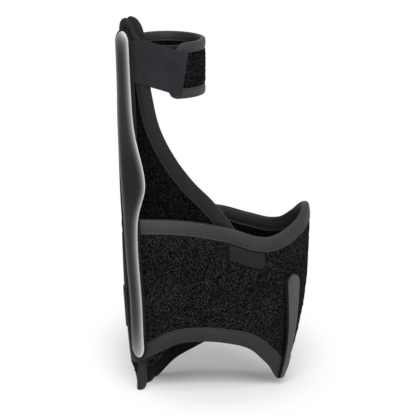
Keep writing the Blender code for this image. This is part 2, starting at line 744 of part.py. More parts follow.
def build_strap(web, hook):
    path, normal, run = strap_path()
    middle = STRAP_ROOT_Z - STRAP_DROP * run / run[-1]
    edges = np.stack([middle - STRAP_WIDTH / 2, middle + STRAP_WIDTH / 2], -1)
    strap = strap_solid("calf_strap", path, normal, edges, -STRAP / 2, STRAP, web)

    held = run > run[-1] - CALF_HOOK_LENGTH
    hook_half = STRAP_WIDTH / 2 - HOOK_INSET
    edges = np.stack([middle - hook_half, middle + hook_half], -1)
    inner = -STRAP / 2 - CLEARANCE - HOOK
    pad = strap_solid("calf_strap_hook", path[held], normal[held], edges[held], inner, HOOK, hook)
    return [strap, pad]


def build_strap_root(web):
    """Sewn root of the calf strap, beside the carrier."""
    front = RAIL_S - RAIL_HALF - CARRIER_MARGIN - CLEARANCE
    s, z = np.meshgrid(
        np.linspace(front, front - STRAP_ROOT, 2),
        np.linspace(STRAP_ROOT_Z - STRAP_WIDTH / 2, STRAP_ROOT_Z + STRAP_WIDTH / 2, 4),
        indexing="ij",
    )
    face = panel_face(s, z) + SKIN + 2 * CLEARANCE
    slab("calf_strap_root", on_form(s, z, face + STRAP), on_form(s, z, face), web)


# Heel strap


def heel_root_s():
    """Where the heel strap's free part starts."""
    return NEAR_END + SKIN + 2 * CLEARANCE


def build_heel_strap(web, hook):
    low = HEEL_STRAP_Z - HEEL_STRAP_WIDTH / 2
    high = HEEL_STRAP_Z + HEEL_STRAP_WIDTH / 2
    over = SKIN + 2 * CLEARANCE
    first = heel_root_s()
    columns = spread(first, first + HEEL_STRAP_LENGTH, 5.0)
    s, z = column_grid(columns, low, high, 4)
    z = np.broadcast_to(z, s.shape)
    strap = slab("heel_strap", on_form(s, z, over + STRAP), on_form(s, z, over), web)
    last = first + HEEL_STRAP_LENGTH - HOOK_INSET
    columns = spread(last - HOOK_LENGTH, last, 5.0)
    s, z = column_grid(columns, low + HOOK_INSET, high - HOOK_INSET, 4)
    z = np.broadcast_to(z, s.shape)
    pad = slab("heel_strap_hook", on_form(s, z, over - CLEARANCE), on_form(s, z, CLEARANCE), hook)
    return [strap, pad]


def build_heel_root(web):
    """Sewn root of the heel strap, on the wrap's near end."""
    first = RAIL_S + RAIL_HALF + CARRIER_MARGIN + CLEARANCE
    low = HEEL_STRAP_Z - HEEL_STRAP_WIDTH / 2
    high = HEEL_STRAP_Z + HEEL_STRAP_WIDTH / 2
    s, z = column_grid(np.linspace(first, heel_root_s() - HINGE_GAP, 3), low, high, 4)
    z = np.broadcast_to(z, s.shape)
    over = SKIN + 2 * CLEARANCE
    slab("heel_strap_root", on_form(s, z, over + STRAP), on_form(s, z, over), web)


# Front tab


def tab_middle(z):
    """Pattern place of the tab's middle."""
    share = ease((np.asarray(z, float) - TAB_BOTTOM) / (TAB_TOP - TAB_BOTTOM) * 0.8 + 0.1)
    return TAB_BOTTOM_S + (TAB_TOP_S - TAB_BOTTOM_S) * share


def tab_half(z):
    share = (np.asarray(z, float) - TAB_BOTTOM) / (TAB_TOP - TAB_BOTTOM)
    return TAB_HALF_BOTTOM + (TAB_HALF_TOP - TAB_HALF_BOTTOM) * ease(share)


TAB_FACE = SKIN + 2 * CLEARANCE


def build_tab(moulding, hook):
    turn = np.linspace(0.0, np.radians(78.0), 4)
    straight_top = TAB_TOP - TAB_HALF_TOP
    z = np.concatenate([spread(TAB_BOTTOM, straight_top, 12.0)[:-1], straight_top + TAB_HALF_TOP * np.sin(turn)])
    left = np.concatenate([np.ones(len(z) - len(turn)), np.cos(turn)])
    u = np.linspace(-1.0, 1.0, 5)
    s = tab_middle(z)[:, None] + (tab_half(z) * left)[:, None] * u
    z = np.broadcast_to(z[:, None], s.shape)
    crown = TAB_THICK * (1 - 0.25 * u * u)
    tab = slab("front_tab", on_form(s, z, TAB_FACE + crown), on_form(s, z, TAB_FACE), moulding)

    z = spread(TAB_BOTTOM + 4 * TAB_HALF_TOP, straight_top, 12.0)
    s = tab_middle(z)[:, None] + (tab_half(z) - HOOK_INSET)[:, None] * u
    z = np.broadcast_to(z[:, None], s.shape)
    pad = slab("front_tab_hook", on_form(s, z, TAB_FACE - CLEARANCE), on_form(s, z, CLEARANCE), hook)
    return [tab, pad]


def build_tab_root(moulding):
    """Sewn foot of the tab, over the hem."""
    high = TAB_BOTTOM - HINGE_GAP
    z = spread(high - TAB_ROOT_LENGTH, high, 5.0)
    u = np.linspace(-1.0, 1.0, 5)
    s = tab_middle(z)[:, None] + tab_half(z)[:, None] * u
    z = np.broadcast_to(z[:, None], s.shape)
    crown = TAB_THICK * (1 - 0.25 * u * u)
    slab("front_tab_root", on_form(s, z, TAB_FACE + crown), on_form(s, z, TAB_FACE), moulding)


# Label


def build_label(web):
    """Blank folded label that hangs from under the top binding."""
    columns = spread(LABEL_S + LABEL_WIDTH / 2, LABEL_S - LABEL_WIDTH / 2, 6.0)
    high = wrap_top(columns) - past_binding(wrap_top, columns)
    s, z = column_grid(columns, high - LABEL_DROP, high, 3)
    slab("label_tab", on_form(s, z, CLEARANCE + LABEL_THICK), on_form(s, z, CLEARANCE), web)


def hinge_empty(name, at, along, children):
    """Empty on a joint's axis, with its Z along the axis, that carries the pieces that turn about it."""
    pivot = bpy.data.objects.new(name, None)
    pivot.location = Vector(at) * MM
    pivot.rotation_mode = "QUATERNION"
    pivot.rotation_quaternion = Vector(along).to_track_quat("Z", "Y")
    bpy.context.scene.collection.objects.link(pivot)
    for child in children:
        child.data.transform(pivot.matrix_basis.inverted())
        child.parent = pivot
    return pivot


def stand_on_origin():
    """Moves the whole object so that the middle of its box stands on the origin."""
    bpy.context.view_layer.update()
    corners = []
    for item in bpy.context.scene.objects:
        if item.type == "MESH":
            grid = np.array([item.matrix_world @ v.co for v in item.data.vertices])
            corners += [grid.min(0), grid.max(0)]
    low, high = np.min(corners, 0), np.max(corners, 0)
    shift = np.array([-(low[0] + high[0]) / 2, -(low[1] + high[1]) / 2, -low[2]])
    for item in bpy.context.scene.objects:
        if item.parent is None:
            item.location = [a + b for a, b in zip(item.location, shift)]
    bpy.context.view_layer.update()
    print("shift", shift.round(6).tolist(), "size", (high - low).round(6).tolist())


def main():
    for item in list(bpy.data.objects):
        bpy.data.objects.remove(item)

    pile = ((0.012, 0.012, 0.013), 0.95)
    lining = ((0.014, 0.014, 0.016), 0.95)
    tape = ((0.055, 0.055, 0.058), 0.65)
    web = ((0.035, 0.035, 0.04), 0.6)
    hook = ((0.01, 0.01, 0.01), 0.8)
    shell = ((0.05, 0.052, 0.056), 0.25)
    base = ((0.03, 0.03, 0.032), 0.6)
    moulding = ((0.045, 0.045, 0.048), 0.5)

    build_wrap(pile, lining, tape)
    build_panel(pile, tape)
    build_liner(lining)
    build_rail(shell, base, hook)
    build_band_patch(tape)
    build_strap_root(web)
    build_heel_root(web)
    build_tab_root(moulding)
    build_label(web)

    heel_face = SKIN + 2 * CLEARANCE + STRAP
    heel_edge = on_form(heel_root_s(), HEEL_STRAP_Z, heel_face)
    heel_up = on_form(heel_root_s(), HEEL_STRAP_Z + HEEL_STRAP_WIDTH / 2, heel_face)
    tab_face = TAB_FACE + TAB_THICK
    tab_edge = on_form(tab_middle(TAB_BOTTOM), TAB_BOTTOM, tab_face)
    tab_side = on_form(tab_middle(TAB_BOTTOM) - TAB_HALF_BOTTOM, TAB_BOTTOM, tab_face)
    band_edge = on_band(BAND_ROOT_ANGLE, BAND_TOP, 0.0)
    up = np.array([0.0, 0.0, 1.0])
    pivots = [
        hinge_empty("calf_strap_axis", strap_hinge(1.0), -up, build_strap(web, hook)),
        hinge_empty("calf_band_axis", band_edge, up, build_band(pile, lining, tape)),
        hinge_empty("heel_strap_axis", heel_edge, heel_up - heel_edge, build_heel_strap(web, hook)),
        hinge_empty("front_tab_axis", tab_edge, tab_side - tab_edge, build_tab(moulding, hook)),
    ]
    stand_on_origin()
    for pivot in pivots:
        axis = pivot.matrix_world.col[2][:3]
        print(pivot.name, [round(v, 5) for v in pivot.matrix_world.translation], [round(v, 4) for v in axis])


main()
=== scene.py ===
import json

import bmesh
import bpy
import numpy as np
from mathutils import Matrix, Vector


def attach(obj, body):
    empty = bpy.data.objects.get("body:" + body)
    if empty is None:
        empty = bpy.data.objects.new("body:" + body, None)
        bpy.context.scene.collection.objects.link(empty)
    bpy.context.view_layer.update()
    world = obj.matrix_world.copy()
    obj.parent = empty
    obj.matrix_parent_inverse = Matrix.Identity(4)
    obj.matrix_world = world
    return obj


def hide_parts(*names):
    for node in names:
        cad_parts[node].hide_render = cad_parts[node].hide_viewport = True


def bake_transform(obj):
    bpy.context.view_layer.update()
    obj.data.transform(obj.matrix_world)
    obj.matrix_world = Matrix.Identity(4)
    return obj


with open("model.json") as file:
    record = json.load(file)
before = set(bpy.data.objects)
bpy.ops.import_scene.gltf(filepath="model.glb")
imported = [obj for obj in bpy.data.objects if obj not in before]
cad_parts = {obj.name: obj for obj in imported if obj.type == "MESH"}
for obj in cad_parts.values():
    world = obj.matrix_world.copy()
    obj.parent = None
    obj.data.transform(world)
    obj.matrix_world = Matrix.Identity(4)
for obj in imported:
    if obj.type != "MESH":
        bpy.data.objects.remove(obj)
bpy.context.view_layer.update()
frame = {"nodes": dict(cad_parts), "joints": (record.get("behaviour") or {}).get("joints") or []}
print("frame:", len(frame["nodes"]), "CAD nodes")

mm = 0.001
quarter = np.pi / 2
hair = 0.05  # mm, keeps two faces that touch out of one plane

# The form that every flat pattern is laid on, in millimetres. s runs round it from the nose along the
# near side, z is the height and out is the distance off its face.
form = {
    "noseX": 89.0, "noseBreakX": 20.0, "farBreakX": -2.0, "rearX": -82.0, "halfWidth": 45.0,
    "cornerRadius": 15.0, "frontTaper": (0.265, 130.0), "rearTaper": (0.13, 150.0),
    "sideTaper": (0.10, 140.0), "lean": 0.045, "leanStart": 150.0, "leanSoftness": 30.0, "quarterSteps": 200,
}
layers = {"wall": 3.6, "lining": 1.0, "skin": 0.9, "clearance": 0.4, "hingeGap": 1.2}
wrap = {
    "endPastCorner": 2.0, "tailOverlap": 17.0, "tailTuck": 50.0, "tailRamp": 30.0, "tailFlare": 5.5,
    "tailFlareTop": 28.0, "tailTop": 94.0, "tailCorner": 9.0, "tailFull": 0.4, "corner": 15.0,
    "tipS": 16.0, "tipLift": 3.8, "dipS": 58.0, "top": 160.0, "peak": 164.4, "dip": 140.5,
    "noseFlare": (1.2, 146.0, 12.0, 45.0), "noseRound": 13.0, "nearArch": 47.0, "farArch": 42.0,
    "heelFull": 6.2, "heelS": (20.0, 13.0), "heelZ": (23.0, 16.0), "heelTuck": (5.5, 30.0, 16.0, 26.0),
    "saddleRearX": -17.0, "saddleFrontX": 9.0, "archX": (-36.0, -12.0, 11.0),
}
band = {
    "set": 8.0, "lengthHalf": 33.5, "inset": 7.0, "bottom": 270.0, "top": 318.0, "wall": 3.0,
    "rootAngle": np.radians(198.0), "endAngle": np.radians(-92.0),
}


def ease(t):  # 0 up to t = 0, 1 from t = 1, smooth between
    t = np.clip(t, 0.0, 1.0)
    return t * t * (3.0 - 2.0 * t)


def bell(x, middle, spread):  # 1 at the middle, dying away on both sides
    return np.exp(-(((x - middle) / spread) ** 2))


def dying(away, reach, power=2.0):  # 1 at no distance, 0 from the reach on
    return np.clip(1 - away / reach, 0, None) ** power


def unit(vectors):
    return vectors / np.linalg.norm(vectors, axis=-1, keepdims=True)


def paired(first, second):  # two arrays as pairs: points of a path, or a pattern's own millimetres
    return np.stack(np.broadcast_arrays(first, second), -1)


def through(points, x):  # smooth curve through a few (x, height) points: a cubic piece between neighbours
    px, py = np.array(sorted(points), float).T
    slope = np.gradient(py, px)
    x = np.clip(x, px[0], px[-1])
    i = np.clip(np.searchsorted(px, x) - 1, 0, len(px) - 2)
    gap = px[i + 1] - px[i]
    t = (x - px[i]) / gap
    leaving = py[i] * (1 + 2 * t) * (1 - t) ** 2 + slope[i] * gap * t * (1 - t) ** 2
    arriving = py[i + 1] * t * t * (3 - 2 * t) + slope[i + 1] * gap * t * t * (t - 1)
    return leaving + arriving


def quarterTurn(centre, along, across, first):  # points and outward normals of a quarter ellipse
    angle = np.linspace(first, first - quarter, form["quarterSteps"])
    point = np.array(centre) + paired(along * np.cos(angle), across * np.sin(angle))
    return np.concatenate([point, unit(paired(np.cos(angle) / along, np.sin(angle) / across))], 1)


def formOutline():  # plan outline with its running length: nose, near side, rear corner, heel, far side, nose
    radius, half = form["cornerRadius"], form["halfWidth"]
    nose = form["noseX"] - form["noseBreakX"]
    heelLong = form["farBreakX"] - form["rearX"]
    backY = radius - half
    noseCentre = (form["noseBreakX"], 0.0)
    points = np.concatenate([
        quarterTurn(noseCentre, nose, half, 0.0),
        quarterTurn((form["rearX"] + radius, backY), radius, radius, -quarter),
        quarterTurn((form["farBreakX"], backY), heelLong, half - backY, 2 * quarter),
        quarterTurn(noseCentre, nose, half, quarter),
    ])
    return runLength(points[:, :2]), points


def runLength(points):  # distance travelled along a row of points
    return np.concatenate([[0.0], np.cumsum(np.linalg.norm(np.diff(points, axis=0), axis=1))])


def sampled(points, length, places):  # points of a path at given distances along it
    return np.stack([np.interp(places, length, column) for column in points.T], -1)


def spaced(points, step):  # the same path with points an even step apart
    length = runLength(points)
    return sampled(points, length, np.linspace(0.0, length[-1], int(np.ceil(length[-1] / step)) + 1))


run, outline = formOutline()
perimeter = run[-1]
nearStraight = run[form["quarterSteps"] - 1] + form["noseBreakX"]
cornerStart = run[form["quarterSteps"]]
nearEnd = run[2 * form["quarterSteps"] - 1] + wrap["endPastCorner"]
tailEntry = nearEnd - perimeter
tailEnd = tailEntry - wrap["tailOverlap"]
secondLayer = -(layers["wall"] + 4 * layers["clearance"] + layers["lining"] + layers["skin"])


def nearS(x):  # pattern place of a point on the near side
    return nearStraight - x


def leanAt(z):  # how far the form has moved back at a height
    rise = z - form["leanStart"]
    return form["lean"] * (np.sqrt(rise * rise + form["leanSoftness"] ** 2) + rise) / 2


def taper(z, side):  # share of the full size left near the floor
    amount, top = form[side]
    return 1 - amount * dying(z, top)


def onForm(s, z, out):  # outline point at s, drawn in at the floor, leaned back above, moved out
    s, z, out = np.broadcast_arrays(s, z, out)
    x, y, nx, ny = (np.interp(np.mod(s, perimeter), run, column) for column in outline.T)
    x = x * np.where(x > 0, taper(z, "frontTaper"), taper(z, "rearTaper")) - leanAt(z)
    return np.stack([x + out * nx, y * taper(z, "sideTaper") + out * ny, z], -1)


def onBand(angle, z, out):  # oval of the calf band, moved off along its normal
    angle, z, out = np.broadcast_arrays(angle, z, out)
    long, wide = band["lengthHalf"], form["halfWidth"] - band["inset"]
    normal = unit(paired(np.cos(angle) / long, np.sin(angle) / wide))
    x = form["rearX"] + long + band["set"] + long * np.cos(angle) + out * normal[..., 0]
    return np.stack([x, wide * np.sin(angle) + out * normal[..., 1], z], -1)


# Where the form's own zero stands in the frame, from the calf band's hinge
bandHinge = next(joint for joint in frame["joints"] if joint["name"] == "calf_band_swing")
formZero = np.array(bandHinge["pos_m"]) / mm - onBand(band["rootAngle"], band["top"], 0.0)


def inFrame(point):  # a point of the form as a place in the frame, in metres
    return tuple(float(v) for v in (np.asarray(point) + formZero) * mm)


# Meshes


def gridQuads(rows, columns, around=False):  # corners of each cell of a grid; around closes its columns
    index = np.arange(rows * columns).reshape(rows, columns)
    after = np.roll(index, -1, axis=1)
    cells = np.stack([index[:-1], after[:-1], after[1:], index[1:]], -1)
    if not around:
        cells = cells[:, :-1]
    return cells.reshape(-1, 4)


def makePiece(name, points, faces, look, uv=None, sharp=60.0):
    mesh = bpy.data.meshes.new(name)
    mesh.from_pydata(((points.reshape(-1, 3) + formZero) * mm).tolist(), [], faces)
    work = bmesh.new()
    work.from_mesh(mesh)
    bmesh.ops.recalc_face_normals(work, faces=work.faces)
    work.to_mesh(mesh)
    work.free()
    mesh.shade_smooth()
    mesh.set_sharp_from_angle(angle=np.radians(sharp))
    if uv is not None:
        corner = np.zeros(len(mesh.loops), np.int32)
        mesh.loops.foreach_get("vertex_index", corner)
        mesh.uv_layers.new(name="pattern").data.foreach_set("uv", uv.reshape(-1, 2)[corner].ravel())
    mesh.materials.append(looks[look])
    piece = bpy.data.objects.new(name, mesh)
    bpy.context.scene.collection.objects.link(piece)
    return piece


def sheetPiece(name, outer, inner, look, uv):  # closed wall between two point grids, with a rim round both
    rows, columns = outer.shape[:2]
    count = rows * columns
    index = np.arange(count).reshape(rows, columns)
    rim = np.concatenate([index[0, :-1], index[:-1, -1], index[-1, :0:-1], index[:0:-1, 0]])
    ahead = np.roll(rim, -1)
    quads = gridQuads(rows, columns)
    sides = np.stack([rim, ahead, ahead + count, rim + count], -1)
    faces = np.concatenate([quads, quads + count, sides]).tolist()
    return makePiece(name, np.stack([outer, inner]), faces, look, np.stack([uv, uv]))


def layer(name, onto, s, z, outer, inner, look):  # a sheet on a form, from its outer to its inner distance
    return sheetPiece(name, onto(s, z, outer), onto(s, z, inner), look, paired(s, z))


def tubePiece(name, rings, look, uv, sharp=60.0):  # closed profiles carried along a path, capped at both ends
    rows, columns = rings.shape[:2]
    caps = [list(range(columns)), list(range((rows - 1) * columns, rows * columns))]
    return makePiece(name, rings, gridQuads(rows, columns, True).tolist() + caps, look, uv, sharp)


def place(piece, body, slot, *nodes):
    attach(piece, body)
    if nodes:
        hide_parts(*nodes)


def bend(piece, body, slot, first, last, *nodes):  # one piece that runs from the orthosis to a moving body: its placing is baked into its mesh and the CAD nodes it replaces are hidden
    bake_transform(piece)
    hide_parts(*nodes)


# Materials


def join(tree, slot, value):  # another node's socket is linked, anything else is set
    if isinstance(value, bpy.types.NodeSocket):
        tree.links.new(value, slot)
    else:
        slot.default_value = value


def feed(tree, node, **sockets):
    for socket, value in sockets.items():
        join(tree, node.inputs[socket.replace("_", " ")], value)


def newLook(name, **sockets):
    look = bpy.data.materials.new(name)
    look.use_nodes = True
    shader = look.node_tree.nodes["Principled BSDF"]
    feed(look.node_tree, shader, **sockets)
    return look, look.node_tree, shader


def addNode(tree, kind, options=None, **sockets):
    made = tree.nodes.new("ShaderNode" + kind)
    for option, value in (options or {}).items():
        setattr(made, option, value)
    feed(tree, made, **sockets)
    return made


def objectPlace(tree):
    return addNode(tree, "TexCoord").outputs["Object"]


def patternPlace(tree):
    return addNode(tree, "UVMap", {"uv_map": "pattern"}).outputs["UV"]


def rampColour(tree, factor, *stops):  # colour ramp through (position, grey or colour) stops
    ramp = addNode(tree, "ValToRGB", Fac=factor)
    elements = ramp.color_ramp.elements
    while len(elements) < len(stops):
        elements.new(0.5)
    for element, (position, colour) in zip(elements, stops):
        element.position = position
        element.color = (*np.broadcast_to(colour, 3), 1.0)
    return ramp.outputs["Color"]


def mathOf(tree, operation, *values):
    made = addNode(tree, "Math", {"operation": operation})
    for slot, value in zip(made.inputs, values):
        join(tree, slot, value)
    return made.outputs[0]


def noiseOf(tree, where, scale, detail=2.0, rough=0.5):
    return addNode(tree, "TexNoise", Vector=where, Scale=scale, Detail=detail, Roughness=rough).outputs["Fac"]


def cellsOf(tree, where, scale):
    return addNode(tree, "TexVoronoi", {"feature": "F1"}, Vector=where, Scale=scale).outputs


def wavesOf(tree, where, axis, scale, wander, detail=2.0):
    return addNode(tree, "TexWave", {"bands_direction": axis}, Vector=where, Scale=scale, Distortion=wander,
                   Detail=detail).outputs["Fac"]


def bumpOf(tree, height, strength, depth, **under):
    return addNode(tree, "Bump", Height=height, Strength=strength, Distance=depth, **under).outputs["Normal"]


def eased(tree, value, first, last, start, end):  # smooth change from start to end between two values
    return addNode(tree, "MapRange", {"interpolation_type": "SMOOTHSTEP"}, Value=value, From_Min=first,
                   From_Max=last, To_Min=start, To_Max=end).outputs[0]


def paintShade(tree, tint, *paintedShades):  # painted shade: darker from one place to another, along the pattern or an axis of the frame
    for line, first, last, left in paintedShades:
        where = patternPlace(tree) if line.startswith("pattern") else objectPlace(tree)
        at = addNode(tree, "SeparateXYZ", Vector=where).outputs[line[-1]]
        mix = addNode(tree, "Mix", {"data_type": "RGBA", "blend_type": "MULTIPLY"})
        for slot, value in ((0, 1.0), (6, tint), (7, eased(tree, at, first, last, 1.0, left))):
            join(tree, mix.inputs[slot], value)
        tint = mix.outputs[2]
    return tint


# Settings of the looks. Noises are (scale, detail, roughness), bumps (strength, depth in metres), stops of a
# colour ramp (position, grey), painted shades (line, first, last, share left).
pile = {
    "deep": 0.0015, "mid": 0.005, "tip": 0.054, "at": (0.0, 0.25, 1.0), "tufts": 1700.0, "rarity": 3.0,
    "fuzz": (2600.0, 3.0, 0.7), "nap": (40.0, 3.0), "lift": 0.5, "bump": (0.8, 0.0008),
    "tilt": (0.96, 0.96, 1.1),  # a little towards blue, as black fabric looks
}


def pileLook(name, level, lift, *paintedShades):  # loop pile: most tufts dark, a few with pale tips, all as bump
    look, tree, shader = newLook(name, Roughness=1.0, Specular_IOR_Level=0.04)
    where = objectPlace(tree)
    tuft = cellsOf(tree, where, pile["tufts"])
    chance = addNode(tree, "SeparateColor", Color=tuft["Color"]).outputs["Red"]
    fuzz = noiseOf(tree, where, *pile["fuzz"])
    nap = noiseOf(tree, where, *pile["nap"])
    fleck = mathOf(tree, "POWER", chance, pile["rarity"])
    for patches in (nap, fuzz):
        fleck = mathOf(tree, "MULTIPLY", fleck, mathOf(tree, "ADD", patches, pile["lift"]))
    greys = (level * pile["deep"], level * pile["mid"] / lift, level * pile["tip"] * lift)
    stops = [(at, tuple(grey * tilt for tilt in pile["tilt"])) for at, grey in zip(pile["at"], greys)]
    feed(tree, shader, Base_Color=paintShade(tree, rampColour(tree, fleck, *stops), *paintedShades),
         Normal=bumpOf(tree, mathOf(tree, "SUBTRACT", fuzz, tuft["Distance"]), *pile["bump"]))
    return look


knit = {
    "turn": 0.314, "wander": 0.6, "patches": (60.0, 4.0, 0.6), "grain": (1400.0, 2.0), "patchShare": 0.6,
    "grainShare": 0.4, "stops": ((0.3, 0.75), (0.7, 1.25)), "roughSpread": 0.12, "depth": 0.00012,
    "swell": (0.12, 0.0012), "tapePitch": 0.55, "tapeBump": 0.35,
}


def knitLook(name, colour, pitch, bump, rough, shine, *paintedShades):  # fine ribs and courses, soft patches
    look, tree, shader = newLook(name, Specular_IOR_Level=shine)
    where = objectPlace(tree)
    pattern = patternPlace(tree)
    ribs, courses = (wavesOf(tree, pattern, axis, knit["turn"] / pitch, knit["wander"], 1.0) for axis in "XY")
    patches = noiseOf(tree, where, *knit["patches"])
    grain = noiseOf(tree, where, *knit["grain"])
    shade = mathOf(tree, "MULTIPLY_ADD", patches, knit["patchShare"],
                   mathOf(tree, "MULTIPLY", grain, knit["grainShare"]))
    stops = [(at, tuple(share * c for c in colour)) for at, share in knit["stops"]]
    fine = bumpOf(tree, mathOf(tree, "MULTIPLY", ribs, courses), bump, knit["depth"])
    feed(tree, shader, Base_Color=paintShade(tree, rampColour(tree, shade, *stops), *paintedShades),
         Roughness=mathOf(tree, "MULTIPLY_ADD", grain, knit["roughSpread"], rough),
         Normal=bumpOf(tree, patches, *knit["swell"], Normal=fine))
    return look


def bindingLook(name, colour, rough, shine, *paintedShades):
    return knitLook(name, colour, knit["tapePitch"], knit["tapeBump"], rough, shine, *paintedShades)


hooks = {"scale": 900.0, "stops": ((0.1, 0.03), (0.6, 0.004)), "bump": (0.8, 0.0006)}


def hookLook():  # rows of tiny moulded hooks
    look, tree, shader = newLook("hookTape", Roughness=0.7, Specular_IOR_Level=0.15)
    away = cellsOf(tree, objectPlace(tree), hooks["scale"])["Distance"]
    feed(tree, shader, Base_Color=rampColour(tree, away, *hooks["stops"]),
         Normal=bumpOf(tree, mathOf(tree, "MULTIPLY", away, -1.0), *hooks["bump"]))
    return look


gloss = {
    "flowScale": (60.0, 60.0, 6.0), "flow": (1.0, 4.0), "marks": (0.3, 0.85), "haze": (90.0, 5.0, 0.65),
    "rough": (0.1, 0.2), "grain": (2600.0, 2.0), "bump": (0.04, 0.0001), "stops": ((0.0, 0.001), (1.0, 1.0)),
}


def stayLook():  # glossy moulding, as pale as its own map of painted highlights and reflections says, with flow marks and finger haze
    look, tree, shader = newLook("stayMoulding", Specular_IOR_Level=0.3)
    where = objectPlace(tree)
    paintedPaleness = addNode(tree, "SeparateXYZ", Vector=patternPlace(tree)).outputs["Y"]
    stretched = addNode(tree, "Mapping", Vector=where, Scale=gloss["flowScale"]).outputs[0]
    marks = mathOf(tree, "MULTIPLY_ADD", noiseOf(tree, stretched, *gloss["flow"]), *gloss["marks"])
    shade = mathOf(tree, "MULTIPLY", paintedPaleness, marks)
    feed(tree, shader, Base_Color=rampColour(tree, shade, *gloss["stops"]),
         Roughness=mathOf(tree, "MULTIPLY_ADD", noiseOf(tree, where, *gloss["haze"]), *gloss["rough"]),
         Normal=bumpOf(tree, noiseOf(tree, where, *gloss["grain"]), *gloss["bump"]))
    return look


satin = {
    "haze": (70.0, 4.0), "rough": (0.15, 0.46), "grain": (1900.0, 3.0, 0.6), "bump": (0.25, 0.00015),
    "stops": ((0.3, (0.053, 0.053, 0.055)), (0.7, (0.074, 0.074, 0.077))),
    "paintedFlankShade": ("patternY", 6.4, 7.6, 0.04),
}


def tabLook():  # satin moulding with a fine spark-eroded grain, painted shade on its rear flank
    look, tree, shader = newLook("tabMoulding", Specular_IOR_Level=0.12)
    where = objectPlace(tree)
    haze = noiseOf(tree, where, *satin["haze"])
    feed(tree, shader, Base_Color=paintShade(tree, rampColour(tree, haze, *satin["stops"]), satin["paintedFlankShade"]),
         Roughness=mathOf(tree, "MULTIPLY_ADD", haze, *satin["rough"]),
         Normal=bumpOf(tree, noiseOf(tree, where, *satin["grain"]), *satin["bump"]))
    return look


woven = {
    "floats": 1.2, "wander": 0.4, "bump": (0.35, 0.0001), "patches": (300.0, 3.0),
    "stops": ((0.3, 0.008), (0.7, 0.013)), "fold": ("patternX", 96.4, 97.6, 0.1),
    "seam": ("patternY", 2.6, 1.4, 0.1),
}


def labelLook():  # blank label: close parallel floats, painted shade along its folded rear end and painted shadow under its seam
    look, tree, shader = newLook("satinLabel", Roughness=0.5, Specular_IOR_Level=0.12)
    floats = wavesOf(tree, patternPlace(tree), "Y", woven["floats"], woven["wander"])
    tint = rampColour(tree, noiseOf(tree, objectPlace(tree), *woven["patches"]), *woven["stops"])
    # painted shade at the fold and painted shadow under the seam
    feed(tree, shader, Base_Color=paintShade(tree, tint, woven["fold"], woven["seam"]),
         Normal=bumpOf(tree, floats, *woven["bump"]))
    return look


thread = {"twist": (3500.0, 2.0), "stops": ((0.3, 0.012), (0.7, 0.04)), "bump": (0.5, 0.0001)}


def threadLook():  # twisted sewing thread
    look, tree, shader = newLook("sewingThread", Roughness=0.6, Specular_IOR_Level=0.15)
    twist = noiseOf(tree, objectPlace(tree), *thread["twist"])
    feed(tree, shader, Base_Color=rampColour(tree, twist, *thread["stops"]),
         Normal=bumpOf(tree, twist, *thread["bump"]))
    return look


# Piles take a level and a lift of the tips, knits a colour, rib pitch in mm, bump, roughness and shine,
# bindings a colour, roughness and shine. Painted shades follow.
looks = {
    "pile": pileLook("loopPile", 1.0, 1.05),
    "panelPile": pileLook("panelPile", 0.36, 1.2),
    "bandPile": pileLook("bandPile", 0.5, 1.8),
    "binding": bindingLook("stretchBinding", (0.025, 0.025, 0.026), 0.45, 0.22),
    # top binding: painted shade over its far half, painted light over its part nearest the near end
    "topBindingPaintedLight": bindingLook("topBindingPaintedLight", (0.032, 0.032, 0.033), 0.45, 0.22, ("frameY", 0.0, 0.016, 0.4),
                              ("patternX", 40.0, 110.0, 0.66)),
    # near hem: painted shade along its upright end beside the stay
    "nearBindingPaintedShade": bindingLook("nearBindingPaintedShade", (0.020, 0.020, 0.021), 0.5, 0.18,
                               ("patternX", 108.0, 92.0, 0.25)),
    # far hem: painted shade over all but its nearest part
    "farBindingPaintedShade": bindingLook("farBindingPaintedShade", (0.025, 0.025, 0.026), 0.6, 0.1, ("frameY", -0.027, -0.02, 0.3)),
    "panelBinding": bindingLook("panelBinding", (0.0065, 0.0065, 0.007), 0.45, 0.2),
    # wrap lining: raised level as painted light low down, painted shade above 40 to 100 mm
    "lining": pileLook("liningPilePaintedLight", 4.0, 1.0, ("frameZ", 0.04, 0.1, 0.06)),
    "bandLining": pileLook("bandLining", 0.3, 1.4),
    "linerPad": knitLook("linerPad", (0.016, 0.016, 0.017), 0.8, 0.4, 0.7, 0.1),
    "strap": knitLook("smoothStrap", (0.016, 0.016, 0.019), 0.45, 0.2, 0.6, 0.1),
    "carrier": knitLook("carrierSleeve", (0.009, 0.009, 0.0095), 0.6, 0.4, 0.6, 0.12),
    "hook": hookLook(),
    "stay": stayLook(),
    "tab": tabLook(),
    "label": labelLook(),
    "thread": threadLook(),
}
print("materials:", len(looks))


# Bound edges

tape = {
    "width": 12.5, "skin": 0.9, "roll": 1.3, "stitchIn": 2.3, "puff": 0.45, "fold": 0.9, "thin": 0.3,
    "sink": 0.4, "dent": 0.55, "core": 0.4, "blunt": 0.8, "across": 24, "around": 13, "uprightRun": 16.0,
}
rimTape = dict(tape, width=11.1, roll=2.7)
bandTape = dict(tape, width=8.0, skin=0.8, stitchIn=1.8, puff=0.3)
stitch = {"pitch": 3.3, "length": 2.5, "radius": 0.24, "rings": 6, "sides": 6, "blunt": 0.05}


def tapeThickness(depth, settings):  # thin at its folded edge, dented at the stitches, puffed up to the roll
    back = settings["width"] - depth
    body = settings["skin"] * (settings["thin"] + (1 - settings["thin"]) * ease(back / settings["fold"]))
    reach = np.clip((back - settings["stitchIn"]) / (settings["width"] - settings["stitchIn"]), 0, 1)
    dent = settings["sink"] * bell(back, settings["stitchIn"], settings["dent"])
    return body + settings["puff"] * np.sin(np.pi * reach) - dent


